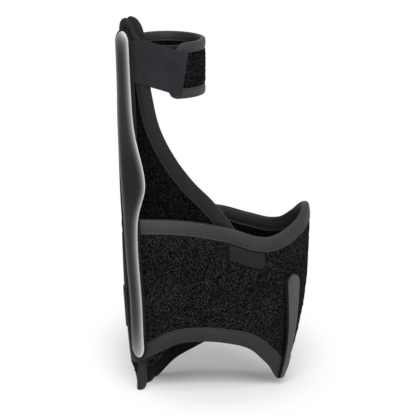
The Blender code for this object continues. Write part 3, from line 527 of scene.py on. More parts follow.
def tapeProfile(wall, settings):  # outer face, rolled edge, inner face, then back along the wall it wraps
    width = settings["width"]
    depth = np.linspace(width, 0.0, settings["across"])
    thick = tapeThickness(depth, settings)
    turn = np.linspace(quarter, -quarter, settings["around"])[1:-1]
    roll = paired(-settings["roll"] * np.cos(turn) ** settings["blunt"],
                  (wall / 2 + thick[-1]) * np.sin(turn) - wall / 2)
    inside = -wall - hair
    hidden = [(width, inside), (0.0, inside), (-settings["core"], -wall / 2), (0.0, hair), (width, hair)]
    return np.concatenate([paired(depth, thick), roll, paired(depth[::-1], -wall - thick[::-1]), hidden])


def edgeFrame(path, inward, uprightEnd):  # direction into the fabric at each point of an edge
    along = np.gradient(path, axis=0)
    if uprightEnd is not None:  # the tape stands upright where two hems meet
        length = runLength(path)
        away = length[-1] - length if uprightEnd == -1 else length
        along[:, 1] *= ease(away / tape["uprightRun"])
    along = unit(along)
    return inward * paired(-along[:, 1], along[:, 0])


# Tape along a path on a form; left is the share of its width kept and full its growth outwards at each point.
def boundEdge(name, body, node, onto, path, inward, face, wall, settings, look, uprightEnd=None, left=1.0,
              full=1.0):
    across = edgeFrame(path, inward, uprightEnd)
    profile = tapeProfile(wall, settings)
    left, full = (np.broadcast_to(share, len(path))[:, None] for share in (left, full))
    reach = profile[:, 0] * np.where(profile[:, 0] > 0, left, 1.0)
    at = np.moveaxis(path[:, None] + across[:, None] * reach[..., None], -1, 0)
    rings = onto(*at, face(*at) + (profile[:, 1] + wall) * full - wall)
    pattern = paired(runLength(path)[:, None], runLength(profile))
    place(tubePiece(name, rings, look, pattern), body, "binding", node)
    depth = settings["width"] - settings["stitchIn"]
    lift = tapeThickness(depth, settings) + stitch["radius"] / 2
    line = (path + across * depth * left).T
    level = face(*line)
    return [(onto(*line, level + out), onto(*line, level + out + 1.0)) for out in (lift, -wall - lift)]


def stitchRows(name, seats, body):  # thread capsules end to end along each row, on its own surface frame
    rings, sides = stitch["rings"], stitch["sides"]
    length = np.linspace(-0.5, 0.5, rings)
    fat = stitch["radius"] * np.sqrt(np.clip(1 - (2 * length) ** 4, stitch["blunt"], None))
    turn = np.linspace(0, 4 * quarter, sides, endpoint=False)
    one = gridQuads(rings, sides, True)
    caps = np.arange(sides) + np.array([[0], [(rings - 1) * sides]])
    points, faces, start = [], [], 0
    for row, outward in seats:
        travelled = runLength(row)
        places = np.arange(stitch["pitch"], travelled[-1] - stitch["pitch"], stitch["pitch"])
        middle = sampled(row, travelled, places)
        ahead = unit(sampled(row, travelled, places + 0.5) - middle)
        side = unit(np.cross(sampled(outward - row, travelled, places), ahead))
        up = np.cross(ahead, side)
        spot = middle[:, None, None] + (length * stitch["length"])[:, None, None] * ahead[:, None, None]
        spot = spot + (fat[:, None] * np.cos(turn))[..., None] * side[:, None, None]
        spot = spot + (fat[:, None] * np.sin(turn))[..., None] * up[:, None, None]
        offsets = start + rings * sides * np.arange(len(places))[:, None, None]
        points.append(spot.reshape(-1, 3))
        faces += (one + offsets).reshape(-1, 4).tolist()
        faces += (caps + offsets).reshape(-1, sides).tolist()
        start += rings * sides * len(places)
    place(makePiece(name, np.concatenate(points), faces, "thread"), body, "binding")


# Foot wrap

# Points of its two edges, as shares of the saddle's depth, the dip's place, the tail's tuck or an arch
wrapEdge = {
    "saddle": (0.2, 0.46), "farSaddle": (0.32, 0.5), "noseDrop": 2.6, "farDrop": 1.0, "tailRise": 3.0,
    "farRises": ((0.7, 4.0), (0.86, 2.3), (1.25, 5.8)), "tailTurns": (1.65, 1.0, 0.5), "tipIn": 8.0,
    "nearShares": (0.47, 0.76, 0.96, 1.0, 0.96, 0.83, 0.5), "farShares": ((0.0, 0.2), (0.5, 0.5), (1.5, 1.0)),
    "heelShares": ((2.35, 0.63), (1.65, 0.3), (1.1, 0.0), (0.6, 0.0)),
}
wrapMesh = {
    "columnStep": 1.6, "rows": 84, "liningRows": 40, "inset": 0.3, "tuft": 0.16, "seed": 3, "edgeStep": 2.2,
    "turns": 12, "nearHem": (40, 90), "farHem": (30, 120), "meet": 0.15, "ripple": (0.12, 3.1, 4.3),
    "calm": 1.3, "slopeStep": 3.0, "under": 1.0,
}


def wrapTop(s):  # from the near end into the saddle, up to the nose, along the far side, down to the tail
    top, dip, peak, dipS, tailTop = (wrap[key] for key in ("top", "dip", "peak", "dipS", "tailTop"))
    slopeZ = (dip + peak) / 2
    noseS, noseZ = wrap["noseRound"], peak - wrapEdge["noseDrop"]
    rearS, frontS = nearS(wrap["saddleRearX"]), nearS(wrap["saddleFrontX"])
    shares = wrapEdge["saddle"] + wrapEdge["farSaddle"]
    rearZ, frontZ, farZ, turnZ = (top - share * (top - dip) for share in shares)
    turnS, downS, lowS = (tailEntry + share * wrap["tailTuck"] for share in wrapEdge["tailTurns"])
    points = [
        (nearEnd, top), (rearS, rearZ), (frontS, frontZ), (dipS, dip), (dipS / 2, slopeZ), (noseS, noseZ),
        (0.0, peak), (-noseS, noseZ), (-dipS / 2, slopeZ - wrapEdge["farDrop"]), (-frontS, farZ),
        (turnS, turnZ), (downS, (top + tailTop) / 2), (lowS, tailTop + wrapEdge["tailRise"]),
        (tailEnd, tailTop),
    ]
    return through(points + [(-share * dipS, dip + rise) for share, rise in wrapEdge["farRises"]], s)


def wrapBottom(s):  # low at the near end, arched, down to the tip, arched beyond, flat under the heel
    dipS, tipS, arches = wrap["dipS"], wrap["tipS"], [nearS(x) for x in wrap["archX"]]
    near = [nearEnd, cornerStart - wrap["corner"] / 2, *arches, dipS + tipS, dipS - wrapEdge["tipIn"]]
    points = [(at, share * wrap["nearArch"]) for at, share in zip(near, wrapEdge["nearShares"])]
    points += [(tipS, wrap["tipLift"]), (tailEnd, 0.0)]
    far, tuck = wrap["farArch"], wrap["tailTuck"]
    points += [(-at * dipS, share * far) for at, share in wrapEdge["farShares"]]
    points += [(tailEntry + at * tuck, share * far) for at, share in wrapEdge["heelShares"]]
    return np.maximum(through(points, s), 0.0)


def roundedBottom(s):  # the lower edge with both end corners turned on a radius
    radius = np.where(s > 0, wrap["corner"], wrap["tailCorner"])
    toEnd = np.clip(np.minimum(nearEnd - s, s - tailEnd), 0.0, radius)
    return wrapBottom(s) + radius - np.sqrt(np.maximum(radius**2 - (radius - toEnd) ** 2, 0.0))


# The wrap's outer face off the form: the tail slips one layer in behind the near end and flares out low down,
# the heel wall swells and is drawn in at the floor, and the nose is fullest a little below its rim.
def wrapFace(s, z):
    tucked = ease((tailEntry + wrap["tailRamp"] - s) / wrap["tailRamp"])
    tail = tucked * (secondLayer + wrap["tailFlare"] * dying(z, wrap["tailFlareTop"]))
    swell = wrap["heelFull"] * bell(s - tailEntry, *wrap["heelS"]) * bell(z, *wrap["heelZ"])
    far, middle, spread, top = wrap["heelTuck"]
    drawn = far * bell(s - tailEntry, middle, spread) * dying(z, top)
    far, middle, tall, spread = wrap["noseFlare"]
    return tail + swell - drawn + far * bell(z, middle, tall) * bell(s, 0.0, spread)


def columnGrid(columns, low, high, rows):  # one column per s, rows from the lower to the upper edge
    share = np.linspace(0.0, 1.0, rows)[:, None]
    return np.broadcast_to(columns, (rows, len(columns))), low + (high - low) * share


def tufts(shape, height, seed):  # uneven pile: random heights, each with half of its two neighbours' added
    noise = np.random.default_rng(seed).normal(size=shape)
    noise = noise + (np.roll(noise, 1, 0) + np.roll(noise, 1, 1)) / 2
    return height * noise / wrapMesh["calm"]


def rippled(s, z, settings):  # a lining that doesn't lie quite flat: the product of two sine waves
    high, alongS, upZ = settings
    return high * np.sin(s / alongS) * np.sin(z / upZ)


def pastBinding(edge, s):  # upright distance from a sloping edge to just inside its binding
    step = wrapMesh["slopeStep"]
    slope = (edge(s + step) - edge(s - step)) / (2 * step)
    return (tape["width"] - wrapMesh["under"]) * np.sqrt(1 + slope * slope)


def makeWrap():
    inset, corner, wallThick = wrapMesh["inset"], wrap["corner"], layers["wall"]
    columns = spaced(np.array([[nearEnd - inset, 0.0], [tailEnd + inset, 0.0]]), wrapMesh["columnStep"])[:, 0]
    s, z = columnGrid(columns, roundedBottom(columns), wrapTop(columns), wrapMesh["rows"])
    face = wrapFace(s, z)
    outer = face + tufts(s.shape, wrapMesh["tuft"], wrapMesh["seed"])
    wall = layer("wrapWall", onForm, s, z, outer, face - wallThick, "pile")
    place(wall, "orthosis", "pile", "foot_wrap")

    columns = columns[(columns < nearEnd - corner) & (columns > tailEnd + corner)]
    low = wrapBottom(columns) + pastBinding(wrapBottom, columns)
    high = wrapTop(columns) - pastBinding(wrapTop, columns)
    s, z = columnGrid(columns, low, high, wrapMesh["liningRows"])
    face = wrapFace(s, z) - wallThick - hair
    inner = face - layers["lining"] + rippled(s, z, wrapMesh["ripple"])
    place(layer("wrapLining", onForm, s, z, face, inner, "lining"), "orthosis", "lining", "wrap_lining")

    s = np.linspace(nearEnd, tailEnd, int((nearEnd - tailEnd) / wrapMesh["edgeStep"]))
    path = paired(s, wrapTop(s) - rimTape["roll"] + tape["roll"])
    seats = boundEdge("wrapTopBinding", "orthosis", "wrap_top_binding", onForm, path, 1, wrapFace, wallThick,
                      rimTape, "topBindingPaintedLight")

    below = tape["width"] + layers["skin"] + 2 * layers["clearance"]
    turn = 1 - np.cos(np.linspace(0.0, quarter, wrapMesh["turns"]))
    sideCount, underCount = wrapMesh["nearHem"]
    side = np.linspace(wrapTop(nearEnd) - below, roundedBottom(nearEnd), sideCount)[:-1]
    under = np.linspace(nearEnd - corner, wrap["tipS"] + wrapMesh["meet"], underCount)[1:]
    under = np.concatenate([nearEnd - corner * turn, under])
    path = np.concatenate([paired(nearEnd, side), paired(under, roundedBottom(under))])
    seats += boundEdge("wrapNearHem", "orthosis", "wrap_near_hem", onForm, path, -1, wrapFace, wallThick,
                       tape, "nearBindingPaintedShade", -1)

    sideCount, underCount = wrapMesh["farHem"]
    side = np.linspace(roundedBottom(tailEnd), wrapTop(tailEnd) - below, sideCount)[1:]
    under = np.linspace(wrap["tipS"] - wrapMesh["meet"], tailEnd + wrap["tailCorner"], underCount)
    under = np.concatenate([under, tailEnd + wrap["tailCorner"] * turn[-2::-1]])
    path = np.concatenate([paired(under, roundedBottom(under)), paired(tailEnd, side)])
    full = 1.0 + wrap["tailFull"] * ease((tailEnd + corner - path[:, 0]) / corner)
    seats += boundEdge("wrapFarHem", "orthosis", "wrap_far_hem", onForm, path, -1, wrapFace, wallThick, tape,
                       "farBindingPaintedShade", 0, full=full)
    stitchRows("wrapStitches", seats, "orthosis")
    print("foot wrap: wall, lining, three bound edges")


# Leg panel and liner

panel = {
    "top": 342.0, "dome": 9.0, "aheadOfRail": 0.0, "half": 8.0, "rearHalf": 6.5, "spread": 30.5,
    "spreadTop": 333.0, "spreadRun": 58.0, "tipTape": 6.4, "tipRun": 30.0, "slope": 8.0, "slopeDrop": 14.5,
    "bottom": 103.0, "foot": 0.9, "reachX": 28.0, "reachZ": 130.0, "rise": 4.5, "riseRun": 80.0,
    "tuft": 0.16, "seed": 5,
    "sweep": ((0.104, 0.867), (0.245, 0.635), (0.315, 0.488), (0.385, 0.369), (0.485, 0.235), (0.584, 0.139),
              (0.77, 0.057)),
    "turnTo": np.radians(87.0), "rows": (1.8, 24), "columns": 72, "boundFrom": 21.0, "edgeRows": (3.0, 20),
    "edgeStep": 2.0,
}
liner = {
    "top": 344.0, "dome": 20.0, "aheadOfRail": 7.0, "half": 11.5, "rearHalf": 18.0, "spread": 27.0,
    "spreadTop": 340.0, "spreadRun": 26.0, "bottom": 186.0, "tuck": 7.0, "thick": 2.6, "crown": 1.2,
    "turnTo": np.radians(87.0), "rows": (3.0, 18), "columns": 40, "seamRun": 3.0, "seamLeast": 0.04,
    "topSeam": 1.2,
}


def panelFace(s, z):  # behind the wrap, coming out to the stay above it
    return secondLayer + panel["rise"] * ease((z - wrap["top"]) / panel["riseRun"]) + 0.0 * s


def linerFace(s, z):
    return panelFace(s, z) - layers["wall"] - 3 * layers["clearance"] - layers["skin"]


def panelFront(z):  # front edge: a sloping shoulder under the round tip, then forward and down into the wrap
    tip = railS - panel["aheadOfRail"] - panel["half"]
    side = tip - panel["slope"]
    reach = side - nearS(panel["reachX"])
    low, crown = panel["reachZ"], panel["top"] - panel["dome"]
    shoulder = crown - panel["slopeDrop"]
    points = [(low + up * (shoulder - low), side - ahead * reach) for up, ahead in panel["sweep"]]
    points += [(panel["bottom"], side - panel["foot"] * reach), (low, side - reach), (shoulder, side)]
    return through(points + [(crown, tip)], z)


def linerFront(z):
    side = railS - liner["aheadOfRail"] - liner["half"]
    return side + liner["tuck"] * ease((liner["top"] - liner["dome"] - z) / liner["dome"])


def roundTop(low, shoulder, rise, rows, turnTo, turns):  # heights up to a round top, width left at each
    turn = np.linspace(0.0, turnTo, turns)
    straight = np.linspace(low, shoulder, rows)[:-1]
    z = np.concatenate([straight, shoulder + rise * np.sin(turn)])
    return z, np.concatenate([np.ones(len(straight)), np.cos(turn)])


def tongueRows(low, settings, front, step, turns):  # heights, front and rear edge of a round-topped tongue
    centre, dome = railS - settings["aheadOfRail"], settings["dome"]
    shoulder = settings["top"] - dome
    z, left = roundTop(low, shoulder, dome, int((shoulder - low) / step), settings["turnTo"], turns)
    ahead = np.where(z > shoulder, centre - settings["half"] * left, front(z))
    sweptBack = settings["spread"] * ease((settings["spreadTop"] - z) / settings["spreadRun"])
    return z, ahead, centre + settings["rearHalf"] * left + sweptBack


def makePanel():
    z, ahead, behind = tongueRows(panel["bottom"], panel, panelFront, *panel["rows"])
    s = ahead[:, None] + (behind - ahead)[:, None] * np.linspace(0.0, 1.0, panel["columns"])
    z = np.broadcast_to(z[:, None], s.shape)
    face = panelFace(s, z)
    outer = face + tufts(s.shape, panel["tuft"], panel["seed"])
    sheet = layer("legPanel", onForm, s, z, outer, face - layers["wall"], "panelPile")
    place(sheet, "orthosis", "pile", "leg_panel")

    z, ahead, behind = tongueRows(panel["bottom"] + panel["boundFrom"], panel, panelFront, *panel["edgeRows"])
    over = [(railS - panel["aheadOfRail"], panel["top"])]
    edge = spaced(np.concatenate([paired(ahead, z), over, paired(behind, z)[::-1]]), panel["edgeStep"])
    nearTip = ease((edge[:, 1] - panel["top"] + panel["dome"] + panel["tipRun"]) / panel["tipRun"])
    left = 1.0 - (1.0 - panel["tipTape"] / tape["width"]) * nearTip
    seats = boundEdge("legPanelBinding", "orthosis", "leg_panel_binding", onForm, edge, -1, panelFace,
                      layers["wall"], tape, "panelBinding", left=left)
    stitchRows("legPanelStitches", seats, "orthosis")
    print("leg panel: pile sheet and bound edge")


def makeLiner():  # a soft pad: full in the middle, drawn in to a thin seam at its edges
    z, ahead, behind = tongueRows(liner["bottom"], liner, linerFront, *liner["rows"])
    share = np.linspace(0.0, 1.0, liner["columns"])
    wide = (behind - ahead)[:, None]
    s = ahead[:, None] + wide * share
    height = (z - z[0]) / (z[-1] - z[0])
    z = np.broadcast_to(z[:, None], s.shape)
    tall = liner["top"] - liner["bottom"]
    fromEnd = np.minimum(height * tall, (1 - height) * tall + liner["topSeam"])
    fromEdge = np.minimum(np.minimum(share, 1 - share) * wide, fromEnd[:, None])
    seam = np.sqrt(np.clip(fromEdge / liner["seamRun"], liner["seamLeast"], 1.0))
    crown = liner["crown"] * np.outer(np.sqrt(np.sin(np.pi * height).clip(0)), np.sin(np.pi * share))
    half = liner["thick"] / 2
    middle = linerFace(s, z) - half
    pad = layer("legLiner", onForm, s, z, middle + half * seam, middle - (half + crown) * seam, "linerPad")
    place(pad, "orthosis", "lining", "leg_liner")
    print("leg liner: pad")


# Stay

rail = {
    "pastCorner": 6.5, "bottom": 33.0, "top": 332.5, "half": 6.5, "frontHalf": 5.4, "bulge": 9.2,
    "bulgeZ": 194.0, "above": 36.0, "below": 23.0, "high": 4.4, "lip": 0.3, "fuller": 0.3, "endFall": 0.8,
    "seat": 4.9, "facing": np.radians(20.0), "edgeLean": np.radians(65.0), "slide": (1.4, 85.0, 35.0),
    "end": 10.5, "rearBulge": (2.0, 222.0, 58.0), "rearTrim": (0.7, 150.0, 60.0), "arc": 49, "flat": 5,
    "step": 2.5, "endTurns": 20, "endFrom": np.radians(3.0), "sharp": 50.0,
}
carrier = {
    "margin": 1.6, "frontMargin": 2.8, "upperMargin": 0.3, "marginTop": 230.0, "marginRun": 60.0,
    "undercut": 0.68, "pileGap": 1.9, "piping": (0.45, 1.7, 0.4), "sink": 0.12, "columns": 61, "step": 3.0,
    "hookHalf": 4.0, "hookGap": 0.1, "hookGrid": (60, 9),
}
# How pale the stay is, as painted highlights and reflections: dark in the middle, paler to its edges and
# ends, by (amount, mm, power)
stayPaintedLight = {
    # rim is a painted highlight along the front edge, top and bottom painted highlights at the ends, ankle a
    # painted dark reflection at the bulge
    "dark": 0.009, "rear": (0.1, 6.0, 3.0), "front": (0.1, 5.6, 1.7), "rim": (0.5, 0.8), "top": (0.3, 5.0),
    "bottom": (0.3, 12.0), "ankle": 0.012,
}
railS = cornerStart + rail["pastCorner"]


def railMiddle(z):  # pattern place of the stay's middle: it slides forward a little below the ankle
    amount, middle, spread = rail["slide"]
    return railS - amount * bell(z, middle, spread)


def railBulge(z):  # extra width of the front edge at the ankle, as a share
    return bell(z, rail["bulgeZ"], np.where(z > rail["bulgeZ"], rail["above"], rail["below"]))


def railRear(z):  # half width behind the middle, a little fuller above the ankle and narrower low down
    extra, middle, spread = rail["rearBulge"]
    less, top, fade = rail["rearTrim"]
    return rail["half"] + extra * bell(z, middle, spread) - less * ease((top - z) / fade)


def railPlace(u, z, high):  # u across towards the front, z up, high out of the flat back
    u, z, high = np.broadcast_arrays(u, z, high)
    cos, sin = np.cos(rail["facing"]), np.sin(rail["facing"])
    across, out = np.array([[cos, -sin, 0.0], [-sin, -cos, 0.0]])
    return onForm(railMiddle(z), z, rail["seat"]) + u[..., None] * across + high[..., None] * out


def railRows(margin, step):  # heights up a bar with long round ends and the share of its width at each
    length = rail["end"] + margin
    turn = np.linspace(rail["endFrom"], quarter, rail["endTurns"])
    low = rail["bottom"] - margin + length - length * np.cos(turn)
    high = rail["top"] + margin - length + length * np.cos(turn)
    middle = np.linspace(low[-1], high[-1], int((high[-1] - low[-1]) / step))[1:-1]
    share = np.sin(turn)
    z = np.concatenate([low, middle, high[::-1]])
    return z, np.concatenate([share, np.ones(len(middle)), share[::-1]])


def acrossStay(front, rear, share):  # places across each row, from its rear edge at -1 to its front edge at 1
    return np.where(share > 0, front[:, None] * share, rear[:, None] * share)


def paintStayHighlights(fromRear, fromFront, z):  # painted highlights and reflections: a power of the nearness to each side, fades from rim and ends
    paintedTone = stayPaintedLight["dark"] - stayPaintedLight["ankle"] * railBulge(z)
    for away, side in ((fromRear, "rear"), (fromFront, "front")):
        amount, reach, power = stayPaintedLight[side]
        paintedTone = paintedTone + amount * dying(away, reach, power)
    for away, side in ((fromFront, "rim"), (rail["top"] - z, "top"), (z - rail["bottom"], "bottom")):
        amount, fade = stayPaintedLight[side]
        paintedTone = paintedTone + amount * np.exp(-away / fade)
    return paintedTone


def makeStay():  # crowned bar: an arc across on a low lip and a flat back, fuller at the ankle
    z, left = railRows(0.0, rail["step"])
    front = (rail["frontHalf"] + rail["bulge"] * railBulge(z)) * left
    rear = railRear(z) * left
    edge = rail["edgeLean"]
    lean = np.linspace(-edge, edge, rail["arc"])
    dome = (np.cos(lean) - np.cos(edge)) / (1 - np.cos(edge))
    full = left ** rail["endFall"] * (1 + rail["fuller"] * railBulge(z))
    crown = np.concatenate([rail["lip"] + (rail["high"] - rail["lip"]) * dome, np.zeros(rail["flat"])])
    share = np.concatenate([np.sin(lean) / np.sin(edge), np.linspace(1.0, -1.0, rail["flat"])])
    u = acrossStay(front, rear, share)
    rings = railPlace(u, z[:, None], crown * full[:, None])
    # the stay's painted highlights and reflections go into its pattern map
    paintedTone = paintStayHighlights(u + rear[:, None], front[:, None] - u, z[:, None])
    piece = tubePiece("stayRail", rings, "stay", paired(z[:, None], paintedTone), rail["sharp"])
    place(piece, "orthosis", "stay", "stay_rail")

    z, left = railRows(carrier["margin"], carrier["step"])
    shown = ease((carrier["marginTop"] - z) / carrier["marginRun"])
    margin = carrier["upperMargin"] + (carrier["margin"] - carrier["upperMargin"]) * shown
    front = (rail["half"] + carrier["frontMargin"] - (rail["half"] - rail["frontHalf"]) * shown) * left
    u = acrossStay(front, (railRear(z) + margin) * left, np.linspace(-1.0, 1.0, carrier["columns"]))
    z = np.broadcast_to(z[:, None], u.shape)
    high, away, spread = carrier["piping"]
    piping = high * bell(np.abs(u) - rail["half"], away, spread)
    outer = railPlace(u, z, piping * left[:, None] - carrier["sink"])
    under = onForm(railMiddle(z) - carrier["undercut"] * u, z, carrier["pileGap"])
    sleeve = sheetPiece("stayCarrier", outer, under, "carrier", paired(u, z))
    place(sleeve, "orthosis", "carrier", "stay_carrier")

    rows, columns = carrier["hookGrid"]
    clear = 2 * tape["width"]
    for name, node, low, high, face in (
        ("carrierHookUpper", "carrier_hook_upper", wrap["top"] + 2 * clear, rail["top"] - clear, panelFace),
        ("carrierHookLower", "carrier_hook_lower", rail["bottom"] + clear, wrap["top"] - clear, wrapFace),
    ):
        z = np.linspace(low, high, rows)[:, None]
        s = railMiddle(z) - carrier["hookHalf"] * np.linspace(-1.0, 1.0, columns)
        hook = layer(name, onForm, s, z, carrier["pileGap"] - hair, face(s, z) + carrier["hookGap"], "hook")
        place(hook, "orthosis", "hook", node)
    print("stay: rail, carrier, hook tapes")


# Calf band

bandMesh = {
    "tuft": 0.14, "seed": 7, "nap": 1.0, "napRun": 2.0, "corner": 9.0, "slant": 8.0, "slantRun": 34.0,
    "columns": 140, "rows": 36, "turns": 14, "edgePoints": (120, 9), "meet": 0.1, "liningIn": 0.8,
    "liningGrid": (120, 20), "ripple": (0.1, 2.7, 3.9), "patchOffset": 21.0, "patchWidth": 18.0,
    "patchGap": 0.1, "patchGrid": (30, 20),
}
tongue = {
    "first": np.radians(-114.0), "last": np.radians(-56.0), "top": 317.0, "width": 38.0, "thick": 1.8,
    "out": -6.0, "points": 40,
}
bandRun = band["lengthHalf"] * (band["rootAngle"] - band["endAngle"])
bandMiddle = (band["bottom"] + band["top"]) / 2


def levelFace(s, z):  # a layer that lies on its own form all over
    return 0.0 * s


def slantedBand(s, z, out):  # the oval by running length; its free end is slanted, sooner at the top
    share = (z - band["bottom"]) / (band["top"] - band["bottom"])
    near = ease((s - bandRun + bandMesh["slantRun"]) / bandMesh["slantRun"])
    return onBand(band["rootAngle"] - (s - bandMesh["slant"] * share * near) / band["lengthHalf"], z, out)


def bandEdge(sign):  # one long edge from the root, round the end corner, to the middle of the end
    radius, (alongCount, downCount) = bandMesh["corner"], bandMesh["edgePoints"]
    level = band["top"] if sign > 0 else band["bottom"]
    turn = np.linspace(0.0, quarter, bandMesh["turns"])[1:]
    along = paired(np.linspace(0.0, bandRun - radius, alongCount), level)
    corner = paired(bandRun - radius + radius * np.sin(turn), level - sign * radius * (1 - np.cos(turn)))
    down = np.linspace(level - sign * radius, bandMiddle + sign * bandMesh["meet"], downCount)[1:]
    return np.concatenate([along, corner, paired(bandRun, down)])


def makeBand():
    low, high, radius = band["bottom"], band["top"], bandMesh["corner"]
    straight = np.linspace(0.0, bandRun - radius, bandMesh["columns"])[:-1]
    turned = bandRun - radius + radius * np.sin(np.linspace(0.0, quarter, bandMesh["turns"]))
    columns = np.concatenate([straight, turned])
    inEnd = np.clip(columns - bandRun + radius, 0.0, radius)
    cut = radius - np.sqrt(np.maximum(radius**2 - inEnd**2, 0.0))
    s, z = columnGrid(columns, low + cut, high - cut, bandMesh["rows"])
    fromEdge = np.minimum(np.minimum(z - low, high - z), bandRun - s)
    nap = bandMesh["nap"] * ease((fromEdge - bandTape["width"]) / bandMesh["napRun"])
    outer = nap + tufts(s.shape, bandMesh["tuft"], bandMesh["seed"])
    wall = layer("calfBand", slantedBand, s, z, outer, -band["wall"], "bandPile")
    place(wall, "calf_band", "pile", "calf_band")

    inside = bandTape["width"] - bandMesh["liningIn"]
    columns, rows = bandMesh["liningGrid"]
    s, z = columnGrid(np.linspace(0.0, bandRun - inside, columns), low + inside, high - inside, rows)
    inner = -band["wall"] - layers["lining"] + rippled(s, z, bandMesh["ripple"])
    lining = layer("calfBandLining", slantedBand, s, z, -band["wall"] - hair, inner, "bandLining")
    place(lining, "calf_band", "lining", "calf_band_lining")

    seats = []
    for name, node, sign in (
        ("calfBandTopBinding", "calf_band_top_binding", 1),
        ("calfBandLowBinding", "calf_band_low_binding", -1),
    ):
        seats += boundEdge(name, "calf_band", node, slantedBand, bandEdge(sign), -sign, levelFace,
                           band["wall"], bandTape, "binding")
    stitchRows("calfBandStitches", seats, "calf_band")

    angle = np.linspace(tongue["first"], tongue["last"], tongue["points"])
    middle = onBand(angle, tongue["top"] - tongue["width"] / 2, tongue["out"])
    out = onBand(angle, 0.0, 1.0) - onBand(angle, 0.0, 0.0)
    upright = np.broadcast_to((0.0, 0.0, 1.0), out.shape)
    flap = ribbon("calfBandTongue", middle, upright, out, tongue["width"], tongue["thick"], "panelBinding")
    place(flap, "calf_band", "lining")

    rows, columns = bandMesh["patchGrid"]
    edge = bandTape["width"]
    first = railS - liner["aheadOfRail"] + bandMesh["patchOffset"]
    z = np.linspace(low + edge, high - edge, rows)[:, None]
    s = np.linspace(first, first + bandMesh["patchWidth"], columns)
    face = linerFace(s, z) - liner["thick"] - liner["crown"] - bandMesh["patchGap"]
    patch = layer("calfBandPatch", onForm, s, z, face, face - layers["skin"], "binding")
    place(patch, "orthosis", "binding", "calf_band_patch")
    print("calf band: pile loop, lining, bound edges, inner tongue, patch")


# Straps and tab

strap = {
    "thick": 1.7, "width": 39.2, "drop": 13.0, "lower": 3.0, "cutLean": 0.55, "root": 5.0, "underStay": 6.0,
    "leave": np.radians(9.0), "land": np.radians(-92.0), "end": np.radians(-69.5), "hook": 1.0,
    "hookLength": 15.0, "hookInset": 2.0, "rootPoints": 14, "freePoints": 40, "heldPoints": 30,
    "bendRun": 5.0,
}
heel = {
    "z": 77.0, "width": 36.0, "length": 66.0, "hookLength": 24.0, "thick": 1.3, "off": 0.8, "hookGap": 0.3,
    "points": 90, "bend": (-1.0, 4.0),
}
ribbonMesh = {"turns": 7, "columns": 30}
strapRootZ = bandMiddle + strap["drop"]
strapOver = layers["skin"] + 2 * layers["clearance"]


def ribbon(name, middle, across, out, width, thick, look):  # rounded flat section carried along a middle line
    half, radius = width / 2, thick / 2
    turn = np.linspace(-quarter, quarter, ribbonMesh["turns"])
    right = paired(half - radius + radius * np.cos(turn), radius * np.sin(turn))
    top = paired(np.linspace(half - radius, radius - half, ribbonMesh["columns"])[1:-1], radius)
    profile = np.concatenate([right, top, -right, -top])
    rings = middle[:, None] + across[:, None] * profile[:, :1] + out[:, None] * profile[:, 1:]
    return tubePiece(name, rings, look, paired(runLength(middle)[:, None], profile[:, 0]))


def strapLine():  # plan of the calf strap: under the stay, off its root in one curve, then round the band
    front = railS - rail["half"] - carrier["margin"] - layers["clearance"]
    startS = front - strap["root"] - layers["hingeGap"] - form["lean"] * strap["width"] / 2
    s = np.linspace(front + strap["underStay"], startS, strap["rootPoints"])
    root = onForm(s, strapRootZ, panelFace(s, strapRootZ) + strapOver + strap["thick"] / 2)[:, :2]
    start = root[-1]
    offBand = 3 * layers["clearance"] + layers["skin"] + strap["hook"] + strap["thick"] / 2
    land = onBand(strap["land"], strapRootZ, offBand)[:2]
    reach = np.linalg.norm(land - start) / 2
    arrive = np.array([-np.sin(strap["land"]), np.cos(strap["land"])])
    leave = np.array([np.cos(strap["leave"]), -np.sin(strap["leave"])])
    t = np.linspace(0.0, 1.0, strap["freePoints"])[:, None]
    free = ((1 - t) ** 3 * start + 3 * t * (1 - t) ** 2 * (start + reach * leave)
            + 3 * t * t * (1 - t) * (land - reach * arrive) + t**3 * land)
    held = np.linspace(strap["land"], strap["end"], strap["heldPoints"])[1:]
    return np.concatenate([root[:-1], free, onBand(held, strapRootZ, offBand)[:, :2]]), len(root) - 1


def makeCalfStrap():
    plan, rootCount = strapLine()
    along = unit(np.gradient(plan, axis=0))
    out = np.stack([along[:, 1], -along[:, 0], np.zeros(len(along))], -1)
    length = runLength(plan)
    travelled = np.clip((length - length[rootCount]) / (length[-1] - length[rootCount]), 0, 1)
    z = strapRootZ - strap["lower"] - strap["drop"] * travelled
    middle = np.concatenate([plan, z[:, None]], 1)
    heading = unit(np.gradient(middle, axis=0))
    across = unit(np.array([0.0, 0.0, 1.0]) - strap["cutLean"] * heading[:, 2:] * heading)
    piece = ribbon("calfStrap", middle, across, out, strap["width"], strap["thick"], "strap")
    start = plan[rootCount]
    bends = [(*start, strapRootZ), (*(start + strap["bendRun"] * along[rootCount]), strapRootZ)]
    bend(piece, "calf_strap", "strap", *bends, "calf_strap", "calf_strap_root")

    held = length > length[-1] - strap["hookLength"]
    held[-1] = False
    inner = middle[held] - out[held] * (strap["thick"] + strap["hook"]) / 2
    wide = strap["width"] - 2 * strap["hookInset"]
    pad = ribbon("calfStrapHook", inner, across[held], out[held], wide, strap["hook"], "hook")
    place(pad, "calf_strap", "hook", "calf_strap_hook")
    print("calf strap")


